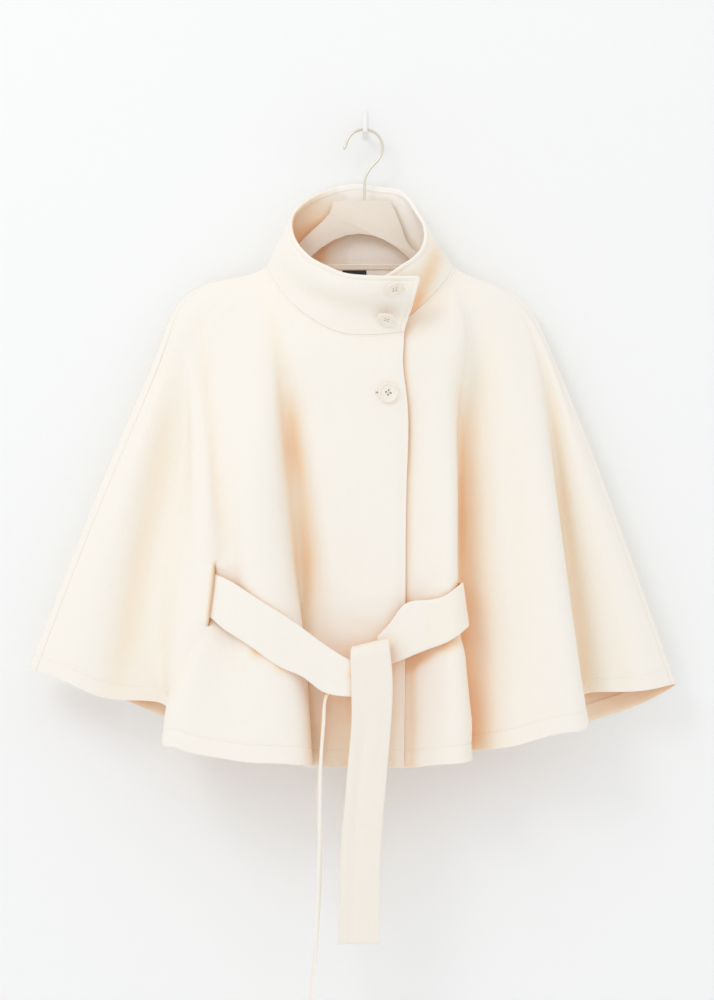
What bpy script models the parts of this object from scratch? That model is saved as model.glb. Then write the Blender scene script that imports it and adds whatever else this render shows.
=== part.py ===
# Belted cape jacket with a stand collar, hung on a flat hanger from a small wall hook.
# Sizes are in millimetres and MM turns them into metres. +X is right as seen from the front,
# +Y goes back to the wall, which is the plane y = 0, and +Z is up.
# The origin is the middle of the wall hook's plate, on the wall.

from collections import namedtuple
from math import cos, pi, radians, sin

import bmesh
import bpy
import numpy as np
from mathutils import Matrix, Vector

MM = 0.001

# cloth
BODY_WALL = 2.5             # one layer of the coat cloth
COLLAR_WALL = 4.5           # two layers with interlining
BELT_WALL = 4.0             # a turned strip, two layers
TAPE_WALL = 1.0
LABEL_WALL = 0.8
GAP = 0.3                   # between pieces that are sewn or lie together
COLUMN_WIDTH = 19.0         # widest facet across the folds
BUTTON_ACROSS = 25.0

# neck seam and collar rim, two ovals seen from above; the turn is 0 at the front, 90 at +X
NECK_X, NECK_Y, NECK_Z = -6.5, -25.0, -185.0
NECK_HALF_WIDTH = 116.0
NECK_FRONT, NECK_BACK = 77.0, 15.0      # reach in front of and behind the hanger
NECK_DROP = 90.0                        # how much lower the front neck is
NECK_DROP_POWER = 1.7
NECK_BACK_RISE = 5.0
RIM_X, RIM_Y, RIM_Z = -8.5, -70.0, -141.0
RIM_HALF_WIDTH, RIM_HALF_DEPTH = 82.0, 62.0
RIM_TIP = 62.0                          # the back stands up and the front falls by this
RIM_SIDE_TIP = 6.0
LAP_EASE = 0.2                          # the lapped end runs on nearly straight
LAP_RIM_TURN = 2.42                     # and its rim reaches this much further round
UNDERLAP_INSET = 7.0                    # the end underneath lies this far inside
UNDERLAP_FROM, UNDERLAP_TO = 30.0, 70.0
COLLAR_ROLL = 6.0                       # the front bulges above a soft dent
RIM_CORNER, RIM_FALL = 8.0, 5.0         # the back of the rim is fuller on the +X side
UNDERLAP_DROP = 6.0                     # the rim underneath falls towards its end
LAP_DROP = 4.5
SHOULDER_RISE = 4.0                     # halfway down, the shoulder bulges by this

# heights at which every fold is stated: for the middle of the body, and along the over-arm seam
Level = namedtuple("Level", "middle seam")
ARM = Level(-354.0, -277.0)
CHEST = Level(-440.0, -398.0)
WAIST = Level(-586.0, -545.0)

# where the levels lie between neck seam (0) and hem (1); the collar lies above 0
LEVELS = (-0.24, -0.16, -0.08, 0.0, 0.045, 0.09, 0.18, 0.38, 0.66, 1.0)
RIM_ROW, HEM_ROW = LEVELS[0], LEVELS[-1]
COLLAR_ROWS = (RIM_ROW, -0.20, -0.16, -0.12, -0.08, -0.04, 0.0)
BODY_ROWS = (0.0, 0.012, 0.03, 0.06, 0.09, 0.135, 0.18, 0.23, 0.28, 0.33, 0.38, 0.44, 0.50, 0.56,
             0.62, 0.635, 0.648, 0.69, 0.735, 0.75, 0.765, 0.80, 0.85, 0.90, 0.95, HEM_ROW)

# One row for each ridge, roll and valley. turn: place on the neck seam in degrees.
# lift: 0 has the middle's heights, 1 those of the over-arm seam. Then x, y (and z) at each level.
Fold = namedtuple("Fold", "name turn lift shoulder_x shoulder_y shoulder_z arm_x arm_y "
                          "chest_x chest_y waist_x waist_y hem_x hem_y hem_z")

FRONT_LEFT = [
    #    name         turn  lift  shoulder          arm         chest       waist       hem
    Fold("underlap",    4, 0.00,   -3, -99, -296,   -2,  -99,    1,  -97,    1,  -91,    1,  -87, -802),
    Fold("under",      17, 0.00,   25, -99, -296,   28,  -99,   29,  -97,   28,  -93,   27,  -89, -803),
    Fold("beside",     31, 0.00,   59, -98, -287,   59,  -99,   59,  -98,   58,  -96,   57,  -94, -804),
    Fold("front",      43, 0.00,   87, -92, -274,   84, -102,   84, -104,   84, -106,   88, -108, -799),
    Fold("ridge_b",    54, 0.00,  106, -86, -262,  106,  -97,  106, -105,  105, -113,  116, -118, -796),
    Fold("roll_b",     62, 0.00,  116, -77, -251,  113,  -86,  112,  -94,  112, -102,  129, -106, -794),
    Fold("slit_b",     67, 0.00,  120, -68, -245,  115,  -71,  111,  -74,  110,  -77,  128,  -78, -792),
    Fold("valley_b",   71, 0.00,  127, -59, -241,  122,  -56,  116,  -53,  114,  -52,  131,  -52, -788),
    Fold("rise_b",     75, 0.05,  142, -54, -240,  147,  -61,  150,  -69,  152,  -75,  162,  -82, -782),
    Fold("panel",    77.7, 0.10,  160, -52, -241,  174,  -68,  181,  -76,  187,  -88,  201,  -98, -772),
    Fold("ridge_c",  80.3, 0.20,  175, -48, -242,  195,  -65,  208,  -82,  223, -101,  240, -113, -760),
    Fold("roll_c",     82, 0.35,  186, -44, -242,  213,  -54,  228,  -68,  248,  -85,  273,  -96, -752),
    Fold("valley_c", 83.5, 0.45,  191, -41, -242,  220,  -40,  235,  -37,  255,  -34,  271,  -32, -721),
    Fold("wing",     85.5, 0.70,  194, -39, -241,  225,  -42,  252,  -46,  288,  -52,  322,  -56, -714),
    Fold("by_seam",  87.5, 0.90,  197, -35, -240,  223,  -39,  262,  -48,  311,  -56,  358,  -60, -710),
    Fold("arm_seam",   90, 1.00,  200, -27, -238,  220,  -32,  269,  -39,  323,  -45,  380,  -48, -706),
]

BACK = [
    Fold("edge_r",     94, 1.00,  205, -20, -237,  226,  -25,  275,  -31,  329,  -37,  386,  -40, -707),
    Fold("wing_r",     98, 0.90,  201, -12, -240,  217,  -16,  259,  -19,  307,  -22,  355,  -23, -727),
    Fold("side_r",    104, 0.60,  188, -10, -250,  195,  -12,  220,  -14,  252,  -15,  295,  -16, -750),
    Fold("valley_r",  118, 0.30,  140,  -9, -262,  150,  -12,  165,  -18,  190,  -24,  225,  -30, -766),
    Fold("ridge_r",   138, 0.10,   92,  -8, -270,  100,   -9,  112,  -10,  128,  -11,  148,  -12, -780),
    Fold("centre_r",  160, 0.00,   45,  -9, -275,   47,  -12,   50,  -17,   58,  -22,   68,  -27, -788),
    Fold("centre",    180, 0.00,   -8,  -8, -278,   -8,   -9,   -8,  -10,  -10,  -11,  -12,  -12, -790),
    Fold("centre_l",  200, 0.00,  -60,  -9, -275,  -62,  -12,  -66,  -17,  -76,  -22,  -90,  -27, -788),
    Fold("ridge_l",   222, 0.10, -108,  -8, -270, -116,   -9, -128,  -10, -148,  -11, -170,  -12, -778),
    Fold("valley_l",  242, 0.30, -156,  -9, -262, -166,  -12, -182,  -18, -208,  -24, -245,  -30, -750),
    Fold("side_l",    256, 0.60, -207, -10, -244, -207,  -12, -232,  -14, -270,  -15, -310,  -16, -724),
    Fold("wing_l",    262, 0.90, -222, -12, -232, -238,  -17, -284,  -22, -334,  -25, -375,  -27, -701),
    Fold("edge_l",    266, 1.00, -228, -20, -226, -253,  -27, -303,  -37, -362,  -45, -417,  -49, -684),
]

FRONT_RIGHT = [
    Fold("arm_seam",  270, 1.00, -223, -27, -227, -246,  -33, -293,  -44, -353,  -52, -407,  -56, -688),
    Fold("by_seam",   273, 0.90, -217, -37, -234, -239,  -43, -276,  -57, -323,  -66, -364,  -72, -703),
    Fold("wing",      276, 0.70, -212, -42, -240, -230,  -47, -254,  -53, -291,  -60, -313,  -64, -723),
    Fold("valley_w",  280, 0.45, -204, -46, -247, -222,  -48, -225,  -48, -254,  -52, -247,  -54, -732),
    Fold("roll_w",    283, 0.35, -195, -49, -252, -213,  -56, -211,  -72, -223,  -90, -247, -102, -772),
    Fold("ridge_w",   287, 0.25, -185, -53, -256, -201,  -66, -195,  -92, -201, -110, -232, -121, -776),
    Fold("slit_w",    289, 0.20, -176, -55, -258, -190,  -69, -183,  -92, -185, -110, -218, -125, -781),
    Fold("dent",      291, 0.10, -167, -58, -261, -180,  -72, -170,  -92, -163, -108, -182, -126, -788),
    Fold("broad_a",   296, 0.00, -148, -66, -267, -154,  -85, -151, -106, -143, -120, -139, -130, -794),
    Fold("ridge_a",   300, 0.00, -131, -75, -271, -132,  -94, -128, -111, -114, -124, -103, -131, -795),
    Fold("roll_a",    305, 0.00, -113, -82, -275, -110,  -90, -104,  -94,  -88,  -98,  -72, -104, -801),
    Fold("valley_a",  310, 0.00,  -97, -86, -278,  -95,  -76,  -88,  -62,  -81,  -54,  -79,  -54, -806),
    Fold("rise_a",    320, 0.00,  -74, -96, -286,  -70,  -92,  -63,  -84,  -53,  -78,  -53,  -74, -805),
    Fold("middle_l",  338, 0.00,  -43, -103, -294, -39, -102,  -36,  -98,  -28,  -92,  -28,  -88, -804),
    Fold("middle",    359, 0.00,    0, -106, -299,   2, -106,    5, -103,    8,  -98,    8,  -94, -804),
    Fold("lap_edge",  388, 0.00,   46, -107, -301,  51, -107,   51, -105,   49, -102,   47,  -98, -804),
]

# belt slits: the fold that they follow, their ends, and how far the lips part
Slit = namedtuple("Slit", "fold top end outer_lip_side")
SLIT_W = Slit("slit_w", 0.62, 0.75, -1)
SLIT_B = Slit("slit_b", 0.635, 0.765, 1)
LIP_PART = 4.3

# belt stretches: a row for each cross-section, with its two edges
Strip = namedtuple("Strip", "top_x top_y top_z low_x low_y low_z")

BELT_LEFT = [
    Strip(-194, -104, -563, -203, -106, -613),
    Strip(-188, -107.2, -565, -196, -111, -616),
    Strip(-182.5, -109.3, -567, -189.5, -113.6, -619),
    Strip(-174, -114, -570, -183.5, -116.5, -623),
    Strip(-158, -121, -578, -174, -122.5, -631),
    Strip(-128, -130, -597, -149, -128, -647),
    Strip(-104, -131, -612, -126, -132, -663),
    Strip(-79, -129, -629, -100, -131, -680),
    Strip(-55, -128, -647, -75, -130, -691),
    Strip(-31, -128, -663, -50, -129, -709),
    Strip(-11, -129.2, -673, -24, -129.2, -714),
    Strip(11, -129, -681, 1, -129, -715),
]

BELT_RIGHT = [
    Strip(15, -112, -642, 11, -112, -680),
    Strip(32, -113, -623, 34, -113, -675),
    Strip(48, -113, -603, 54, -113, -667),
    Strip(73, -113, -598, 79, -115, -657),
    Strip(97, -120, -592, 101, -121, -648),
    Strip(110, -117, -583, 115, -118, -639),
    Strip(117, -107, -578, 124, -107, -632),
    Strip(117, -95, -577, 124, -95, -631),
    Strip(112.4, -85, -579, 114.6, -85, -633),
    Strip(109.9, -77, -581, 111.6, -77, -636),
    Strip(108, -70, -583, 109.5, -70, -638),
    Strip(104, -64, -585, 105, -64, -640),
]

BELT_RUN = [
    Strip(-194.7, -103.6, -563, -203.6, -105.5, -613),
    Strip(-200, -100.5, -566, -208, -101.8, -616),
    Strip(-204, -91, -569, -209, -91, -619),
    Strip(-202, -78, -573, -204, -78, -623),
    Strip(-196, -62, -578, -197, -62, -628),
    Strip(-176, -42, -587, -176, -42, -637),
    Strip(-130, -32, -596, -130, -32, -646),
    Strip(-60, -31, -602, -60, -31, -652),
    Strip(20, -31, -602, 20, -31, -652),
    Strip(70, -36, -597, 70, -36, -647),
    Strip(90, -48, -592, 90, -48, -643),
    Strip(100.2, -58.4, -587, 101.2, -58.4, -641),
    Strip(103.6, -63.5, -585, 104.6, -63.5, -640),
]

BELT_TAIL_FRONT = [
    Strip(-14, -119.5, -689, 26, -119.5, -689),
    Strip(-16, -119.5, -668, 27, -119.5, -660),
    Strip(-17, -121.5, -660, 27, -121.5, -650),
    Strip(-17, -126.5, -656, 28, -126.5, -645),
    Strip(-18, -131.5, -661, 29, -131.5, -651),
    Strip(-18, -133.5, -673, 31, -133.5, -668),
    Strip(-17, -134, -706, 33, -134, -706),
    Strip(-17, -133, -748, 31, -133, -748),
    Strip(-21, -132, -793, 27, -132, -797),
    Strip(-25, -130, -842, 23, -130, -842),
    Strip(-29, -128, -880, 20, -128, -880),
    Strip(-31, -127, -925, 18, -127, -925),
    Strip(-32, -126, -970, 18, -126, -970),
    Strip(-33, -126, -1014, 17, -126, -1014),
]

# the side tail comes from behind the knot, twists and then hangs edge-on
Tail = namedtuple("Tail", "x y z half_width twist")

BELT_TAIL_SIDE = [
    Tail(-38, -123.4, -675, 14, 0),
    Tail(-42, -113.5, -694, 15, 42),
    Tail(-47, -110, -710, 16, 82),
    Tail(-50.5, -112, -735, 23, 88),
    Tail(-53, -114, -770, 25, 88),
    Tail(-56, -115, -817, 25, 86),
    Tail(-56, -115, -880, 25, 88),
    Tail(-56, -115, -940, 25, 92),
    Tail(-59, -115, -1000, 25, 90),
    Tail(-64, -115, -1065, 25, 87),
    Tail(-71, -115, -1140, 25, 84),
]

# buttons: place as seen from the front, how far the face looks down and to +X, its spin, and
# how far its nearest edge stands off the cloth
Button = namedtuple("Button", "x z nod turn spin stand")
BUTTONS = [
    Button(34.0, -220.0, 47.0, 28.0, 25.0, 0.0),
    Button(25.5, -252.0, 53.0, -22.0, 60.0, 2.4),
    Button(28.0, -345.5, 4.0, 2.0, 35.0, 0.4),
]
BUTTON_FOOT = 0.82          # radius of that edge, as a share of the button's
BUTTON_HOLE_ACROSS = 1.9
BUTTON_HOLE_PITCH = 3.6

# hanger, wire hook and wall hook
HANGER_Y = -26.0
HANGER_THICK = 8.0
HANGER_X = -3.9
HANGER_TOP = -102.5
HANGER_NECK = {             # half width and height, on each side of its middle
    -1: ((35, -102.5), (36, -106), (40, -118), (50, -129), (62, -140), (73, -150), (83, -160),
         (91, -169), (98, -177), (104, -184)),
    1: ((35, -102.5), (36.5, -106), (42.5, -118), (49, -134), (54, -150), (61, -161), (72, -169),
        (84, -176), (95, -183)),
}
HANGER_ARM_FROM, HANGER_ARM_TO = 114.0, 188.0
HANGER_ARM_DEPTHS = (16, 20, 23, 25, 27, 29, 31, 32, 33)    # from the tip inwards
HANGER_ARCH_X, HANGER_ARCH_Z = -7.5, -144.0
HANGER_ARCH_FALL = 0.0078
HANGER_CLEAR = 0.5          # between the hanger and the cloth's inner side
WIRE_ACROSS = 3.5
WIRE_BEND_X, WIRE_BEND_Z, WIRE_BEND_R = -1.0, -36.0, 23.0
WIRE_SAG_FROM, WIRE_SAG_TO = -38.0, 172.0
STEM_X = -1.0
HOOK_WIDE = 5.5
HOOK_THICK = 3.0
HOOK_TOP, HOOK_LOW = 15.0, -22.0
HOOK_REACH = 33.5
HOOK_LIP_TOP = 1.5

CREAM = (0.93, 0.84, 0.70, 1)
BEIGE = (0.80, 0.72, 0.62, 1)


def clear_scene():
    for thing in list(bpy.data.objects):
        bpy.data.objects.remove(thing, do_unlink=True)


def collection(name):
    group = bpy.data.collections.new(name)
    bpy.context.scene.collection.children.link(group)
    return group


def finish(name, colour, roughness, metallic=0.0):
    material = bpy.data.materials.new(name)
    material.use_nodes = True
    shader = material.node_tree.nodes["Principled BSDF"]
    shader.inputs["Base Color"].default_value = colour
    shader.inputs["Roughness"].default_value = roughness
    shader.inputs["Metallic"].default_value = metallic
    return material


def smooth(edge_from, edge_to, value):
    t = min(max((value - edge_from) / (edge_to - edge_from), 0.0), 1.0)
    return t * t * (3.0 - 2.0 * t)


def spline_weights(knots, places):
    """Rows of weights that interpolate values at the knots with a natural cubic spline."""
    knots = np.asarray(knots, float)
    places = np.asarray(places, float)
    count = len(knots)
    step = np.diff(knots)
    bend = np.zeros((count, count))
    slope = np.zeros((count, count))
    bend[0, 0] = bend[-1, -1] = 1.0
    for i in range(1, count - 1):
        bend[i, i - 1:i + 2] = step[i - 1], 2.0 * (step[i - 1] + step[i]), step[i]
        slope[i, i - 1:i + 2] = 1.0 / step[i - 1], -1.0 / step[i - 1] - 1.0 / step[i], 1.0 / step[i]
    second = np.linalg.solve(bend, 6.0 * slope)
    span = np.clip(np.searchsorted(knots, places, side="right") - 1, 0, count - 2)
    weights = np.zeros((len(places), count))
    for row, (i, place) in enumerate(zip(span, places)):
        h = step[i]
        a = (knots[i + 1] - place) / h
        b = 1.0 - a
        weights[row, i] += a
        weights[row, i + 1] += b
        weights[row] += ((a ** 3 - a) * second[i] + (b ** 3 - b) * second[i + 1]) * h * h / 6.0
    return weights


def lapped_cosine(turn, lapped):
    """Cosine of the turn, eased on the lapped end so that it runs on across the front."""
    value = cos(radians(turn))
    if lapped and turn > 360.0:
        value = 1.0 - (1.0 - value) * LAP_EASE
    return value


def neck_point(turn, lapped, inset):
    ahead = lapped_cosine(turn, lapped)
    reach = NECK_FRONT if ahead > 0.0 else NECK_BACK
    x = NECK_X + (NECK_HALF_WIDTH - inset) * sin(radians(turn))
    y = NECK_Y - (reach - (inset if ahead > 0.0 else 0.0)) * ahead
    z = NECK_Z - NECK_DROP * max(ahead, 0.0) ** NECK_DROP_POWER + NECK_BACK_RISE * max(-ahead, 0.0)
    return np.array((x, y, z))


def rim_point(turn, lapped, inset):
    if lapped and turn > 360.0:
        turn = 360.0 + (turn - 360.0) * LAP_RIM_TURN
    ahead = lapped_cosine(turn, lapped)
    aside = sin(radians(turn))
    x = RIM_X + (RIM_HALF_WIDTH - inset) * aside
    y = RIM_Y - (RIM_HALF_DEPTH - inset) * ahead
    z = RIM_Z - RIM_TIP * ahead - RIM_SIDE_TIP * aside
    if ahead < 0.0:
        z += RIM_CORNER * smooth(118.0, 138.0, turn) * (1.0 - smooth(138.0, 168.0, turn))
        z -= RIM_FALL * sin(radians(2.0 * max(turn, 180.0)))
    elif inset:
        z -= UNDERLAP_DROP * (1.0 - smooth(20.0, 42.0, turn))
    elif lapped:
        z -= LAP_DROP * smooth(350.0, 376.0, turn)
    return np.array((x, y, z))


def fold_line(fold, side):
    """The points of one fold at every level, from the collar's rim to the hem."""
    lapped = side == "lapped"
    inset = 0.0
    if side == "under":
        inset = UNDERLAP_INSET * (1.0 - smooth(UNDERLAP_FROM, UNDERLAP_TO, fold.turn))
    neck = neck_point(fold.turn, lapped, inset)
    rim = rim_point(fold.turn, lapped, inset)
    ahead = max(cos(radians(fold.turn)), 0.0)
    upper = neck + (rim - neck) * 2.0 / 3.0 + np.array((0.0, -COLLAR_ROLL * ahead, 0.0))
    lower = neck + (rim - neck) / 3.0 + np.array((0.0, COLLAR_ROLL * ahead, 0.0))
    shoulder = np.array((fold.shoulder_x, fold.shoulder_y, fold.shoulder_z))
    aside = abs(sin(radians(fold.turn)))
    slope = (neck + shoulder) / 2.0 + np.array((0.0, 0.0, SHOULDER_RISE * aside ** 4))

    def height(level):
        return level.middle + (level.seam - level.middle) * fold.lift

    return np.array((
        rim, upper, lower, neck, slope, shoulder,
        (fold.arm_x, fold.arm_y, height(ARM)),
        (fold.chest_x, fold.chest_y, height(CHEST)),
        (fold.waist_x, fold.waist_y, height(WAIST)),
        (fold.hem_x, fold.hem_y, fold.hem_z),
    ))


class Cape:
    """The whole cloth as one smooth surface: u runs round the folds, v from rim to hem."""

    def __init__(self):
        lines = [fold_line(fold, "under") for fold in FRONT_LEFT]
        lines += [fold_line(fold, "plain") for fold in BACK]
        lines += [fold_line(fold, "lapped") for fold in FRONT_RIGHT]
        self.net = np.array(lines)
        steps = np.linalg.norm(np.diff(self.net, axis=1), axis=2)
        self.length = np.concatenate((np.zeros((len(lines), 1)), np.cumsum(steps, axis=1)), axis=1)
        between = np.linalg.norm(np.diff(self.net, axis=0), axis=2)
        self.u = np.concatenate(([0.0], np.cumsum(np.sqrt(between[:, 5:]).mean(axis=1))))
        self.width = between[:, 7:].mean(axis=1)
        self.right_seam = len(FRONT_LEFT) - 1
        self.left_seam = self.right_seam + len(BACK) + 1

    def at(self, us, vs):
        """Points on a grid of places, one row of points for each u. Each fold is a smooth curve
        by its own length, and the levels only say how far along it a place is."""
        down = spline_weights(LEVELS, vs)
        lines = [spline_weights(length, down @ length) @ line
                 for length, line in zip(self.length, self.net)]
        return np.einsum("ai,ibk->abk", spline_weights(self.u, us), np.array(lines))

    def normals(self, us, vs):
        """Unit normals that point out of the garment."""
        du, dv = 1e-3 * self.u[-1], 1e-3
        us, vs = np.asarray(us, float), np.asarray(vs, float)
        u_low, u_high = np.clip(us - du, 0, self.u[-1]), np.clip(us + du, 0, self.u[-1])
        v_low, v_high = np.clip(vs - dv, RIM_ROW, HEM_ROW), np.clip(vs + dv, RIM_ROW, HEM_ROW)
        along_u = self.at(u_high, vs) - self.at(u_low, vs)
        along_v = self.at(us, v_high) - self.at(us, v_low)
        out = np.cross(along_v, along_u)
        return out / np.linalg.norm(out, axis=2, keepdims=True)

    def columns(self, first, last):
        """Places across the folds, close enough for facets no wider than COLUMN_WIDTH."""
        places = []
        for i in range(first, last):
            steps = max(1, round(self.width[i] / COLUMN_WIDTH))
            places += list(np.linspace(self.u[i], self.u[i + 1], steps, endpoint=False))
        return np.array(places + [self.u[last]])

    def fold_place(self, name, start):
        folds = FRONT_LEFT + BACK + FRONT_RIGHT
        for i in range(start, len(folds)):
            if folds[i].name == name:
                return self.u[i]
        raise ValueError(name)

    def find(self, x, z, u_range, v_range):
        """The place whose point shows at x, z from the front."""
        u_low, u_high = u_range
        v_low, v_high = v_range
        for _ in range(6):
            us = np.linspace(u_low, u_high, 25)
            vs = np.linspace(v_low, v_high, 25)
            points = self.at(us, vs)
            away = (points[:, :, 0] - x) ** 2 + (points[:, :, 2] - z) ** 2
            i, j = np.unravel_index(np.argmin(away), away.shape)
            u_step, v_step = (u_high - u_low) / 12.0, (v_high - v_low) / 12.0
            u_low, u_high = max(us[i] - u_step, u_range[0]), min(us[i] + u_step, u_range[1])
            v_low, v_high = max(vs[j] - v_step, v_range[0]), min(vs[j] + v_step, v_range[1])
        return us[i], vs[j]


def pull_in(points, axis, end):
    """Draw one edge of a grid of points in by half the seam gap."""
    edge = [slice(None)] * 3
    beside = [slice(None)] * 3
    edge[axis] = 0 if end == 0 else -1
    beside[axis] = 1 if end == 0 else -2
    inward = points[tuple(beside)] - points[tuple(edge)]
    inward /= np.linalg.norm(inward, axis=1, keepdims=True)
    points[tuple(edge)] += inward * GAP / 2.0


def cloth_wall(name, points, normals, thick, group, material, slit=None):
    """A wall of cloth on a grid of middle points. Its skins stand off along the cloth's own normals,
    so pieces that share a seam have parallel edges there. A slit gives one grid line two lips."""
    columns, rows = points.shape[:2]
    middle = [Vector(p) for p in points.reshape(-1, 3)]
    out = [Vector(n) for n in normals.reshape(-1, 3)]
    index = np.arange(columns * rows).reshape(columns, rows)
    after = index.copy()
    if slit:
        column, first, last, side = slit
        for row in range(first + 1, last):
            k = index[column, row]
            lift = out[k] * LIP_PART * side
            after[column, row] = len(middle)
            middle.append(middle[k] + lift)
            out.append(out[k])
            middle[k] = middle[k] - lift
    mesh = bmesh.new()
    skins = []
    for sign in (1, -1):
        skins.append([mesh.verts.new((m + n * sign * thick / 2.0) * MM) for m, n in zip(middle, out)])
    sheet = []
    for i in range(columns - 1):
        use = after if slit and i == slit[0] else index
        for j in range(rows - 1):
            sheet.append((use[i, j], index[i + 1, j], index[i + 1, j + 1], use[i, j + 1]))
    sides = {}
    for a, b, c, d in sheet:
        mesh.faces.new([skins[0][k] for k in (d, c, b, a)])
        mesh.faces.new([skins[1][k] for k in (a, b, c, d)])
        for p, q in ((a, b), (b, c), (c, d), (d, a)):
            sides[(p, q)] = True
    for p, q in sides:
        if (q, p) not in sides:
            mesh.faces.new((skins[0][p], skins[0][q], skins[1][q], skins[1][p]))
    bmesh.ops.recalc_face_normals(mesh, faces=mesh.faces)
    return mesh_object(name, mesh, group, material)


def mesh_object(name, mesh, group, material, sharp=35.0):
    data = bpy.data.meshes.new(name)
    mesh.to_mesh(data)
    mesh.free()
    data.materials.append(material)
    data.shade_smooth()
    data.set_sharp_from_angle(angle=radians(sharp))
    thing = bpy.data.objects.new(name, data)
    group.objects.link(thing)
    return thing


def make_panel(cape, name, first, last, seams, slit, group, material):
    us = cape.columns(first, last)
    vs = np.array(BODY_ROWS)
    points = cape.at(us, vs)
    for end in seams:
        pull_in(points, 0, end)
    pull_in(points, 1, 0)
    cut = None
    if slit:
        column = int(np.argmin(abs(us - cape.fold_place(slit.fold, first))))
        cut = (column, BODY_ROWS.index(slit.top), BODY_ROWS.index(slit.end), slit.outer_lip_side)
    return cloth_wall(name, points, cape.normals(us, vs), BODY_WALL, group, material, cut)


def make_collar(cape, group, material):
    us = cape.columns(0, len(cape.u) - 1)
    vs = np.array(COLLAR_ROWS)
    points = cape.at(us, vs)
    pull_in(points, 1, 1)
    return cloth_wall("collar", points, cape.normals(us, vs), COLLAR_WALL, group, material)


def lay_inside(cape, name, us, vs, thick, group, material):
    """A flat trim on the inner side of the cloth."""
    normals = cape.normals(us, vs)
    points = cape.at(us, vs) - normals * (BODY_WALL / 2.0 + GAP + thick / 2.0)
    return cloth_wall(name, points, normals, thick, group, material)


def make_neck_trim(cape, group, tape_finish, label_finish):
    us = cape.columns(cape.right_seam + 4, cape.left_seam - 4)
    lay_inside(cape, "neck_tape", us, np.array((0.0012, 0.0082)), TAPE_WALL, group, tape_finish)
    back = (cape.u[cape.right_seam + 4], cape.u[cape.left_seam - 4])
    u_right, _ = cape.find(1.8, -195.0, back, (0.0, 0.09))
    u_left, _ = cape.find(-29.0, -195.0, back, (0.0, 0.09))
    us = np.linspace(u_right, u_left, 4)
    lay_inside(cape, "label", us, np.array((0.0088, 0.0200, 0.0310)), LABEL_WALL, group, label_finish)


def strip_wall(name, edges, group, material, steps=3):
    """A belt stretch: smooth between its cross-sections, flat across."""
    edges = np.array(edges, float)
    reach = np.linalg.norm(np.diff(edges.mean(axis=1), axis=0), axis=1)
    knots = np.concatenate(([0.0], np.cumsum(reach)))
    places = []
    for a, b in zip(knots[:-1], knots[1:]):
        places += list(np.linspace(a, b, max(1, min(steps, round((b - a) / 9.0))), endpoint=False))
    places = np.array(places + [knots[-1]])
    grid = np.einsum("ai,ijk->ajk", spline_weights(knots, places), edges)
    points = np.stack((grid[:, 0], grid.mean(axis=1), grid[:, 1]), axis=1)
    along = np.gradient(points, axis=0)
    across = np.broadcast_to(grid[:, 1:] - grid[:, :1], points.shape)
    out = np.cross(across, along)
    out /= np.linalg.norm(out, axis=2, keepdims=True)
    return cloth_wall(name, points, out, BELT_WALL, group, material)


def make_belt(group, material):
    for name, rows in (("belt_left", BELT_LEFT), ("belt_right", BELT_RIGHT),
                       ("belt_run", BELT_RUN), ("belt_tail_front", BELT_TAIL_FRONT)):
        edges = [(row[:3], row[3:]) for row in rows]
        strip_wall(name, edges, group, material)
    edges = []
    for row in BELT_TAIL_SIDE:
        middle = np.array((row.x, row.y, row.z))
        aside = np.array((cos(radians(row.twist)), -sin(radians(row.twist)), 0.0)) * row.half_width
        edges.append((middle - aside, middle + aside))
    strip_wall("belt_tail_side", edges, group, material)


def turned(name, profile, steps, group, material):
    """A Screw object from a profile in the xz plane, given from the top of its outer side down."""
    mesh = bmesh.new()
    dots = [mesh.verts.new((r * MM, 0.0, z * MM)) for r, z in profile]
    for a, b in zip(dots[:-1], dots[1:]):
        mesh.edges.new((a, b))
    thing = mesh_object(name, mesh, group, material)
    screw = thing.modifiers.new("turn", "SCREW")
    screw.steps = screw.render_steps = steps
    screw.use_merge_vertices = True
    screw.merge_threshold = 0.00001
    screw.use_smooth_shade = True
    return thing


def make_button(number, place, normal, button, group, cutters, material):
    half = BUTTON_ACROSS / 2.0
    profile = [(0.0, 2.1), (half * 0.62, 2.1), (half * 0.72, 3.0), (half * 0.86, 3.4),
               (half * 0.97, 2.8), (half, 1.8), (half * 0.94, 0.6), (half * 0.80, 0.0), (0.0, 0.0)]
    name = "button_%d" % number
    thing = turned(name, profile, 24, group, material)
    holes = bmesh.new()
    for i in range(4):
        angle = radians(45 + 90 * i)
        shift = Matrix.Translation((BUTTON_HOLE_PITCH / 2 * cos(angle) * 2 ** 0.5 * MM,
                                    BUTTON_HOLE_PITCH / 2 * sin(angle) * 2 ** 0.5 * MM, 1.5 * MM))
        bmesh.ops.create_cone(holes, cap_ends=True, segments=8, radius1=BUTTON_HOLE_ACROSS / 2 * MM,
                              radius2=BUTTON_HOLE_ACROSS / 2 * MM, depth=6 * MM, matrix=shift)
    cutter = mesh_object(name + "_holes", holes, cutters, material)
    cutter.hide_render = True
    cutter.display_type = "WIRE"
    cut = thing.modifiers.new("holes", "BOOLEAN")
    cut.object = cutter
    cut.solver = "EXACT"
    nod, turn = radians(button.nod), radians(button.turn)
    face = Vector((sin(turn) * cos(nod), -cos(turn) * cos(nod), -sin(nod)))
    stand = button.stand + half * BUTTON_FOOT * sin(face.angle(Vector(normal)))
    spot = (Vector(place) + Vector(normal) * stand) * MM
    spin = Matrix.Rotation(radians(button.spin), 4, "Z")
    thing.matrix_world = Matrix.Translation(spot) @ face.to_track_quat("Z", "Y").to_matrix().to_4x4() @ spin
    cutter.matrix_world = thing.matrix_world


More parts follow.
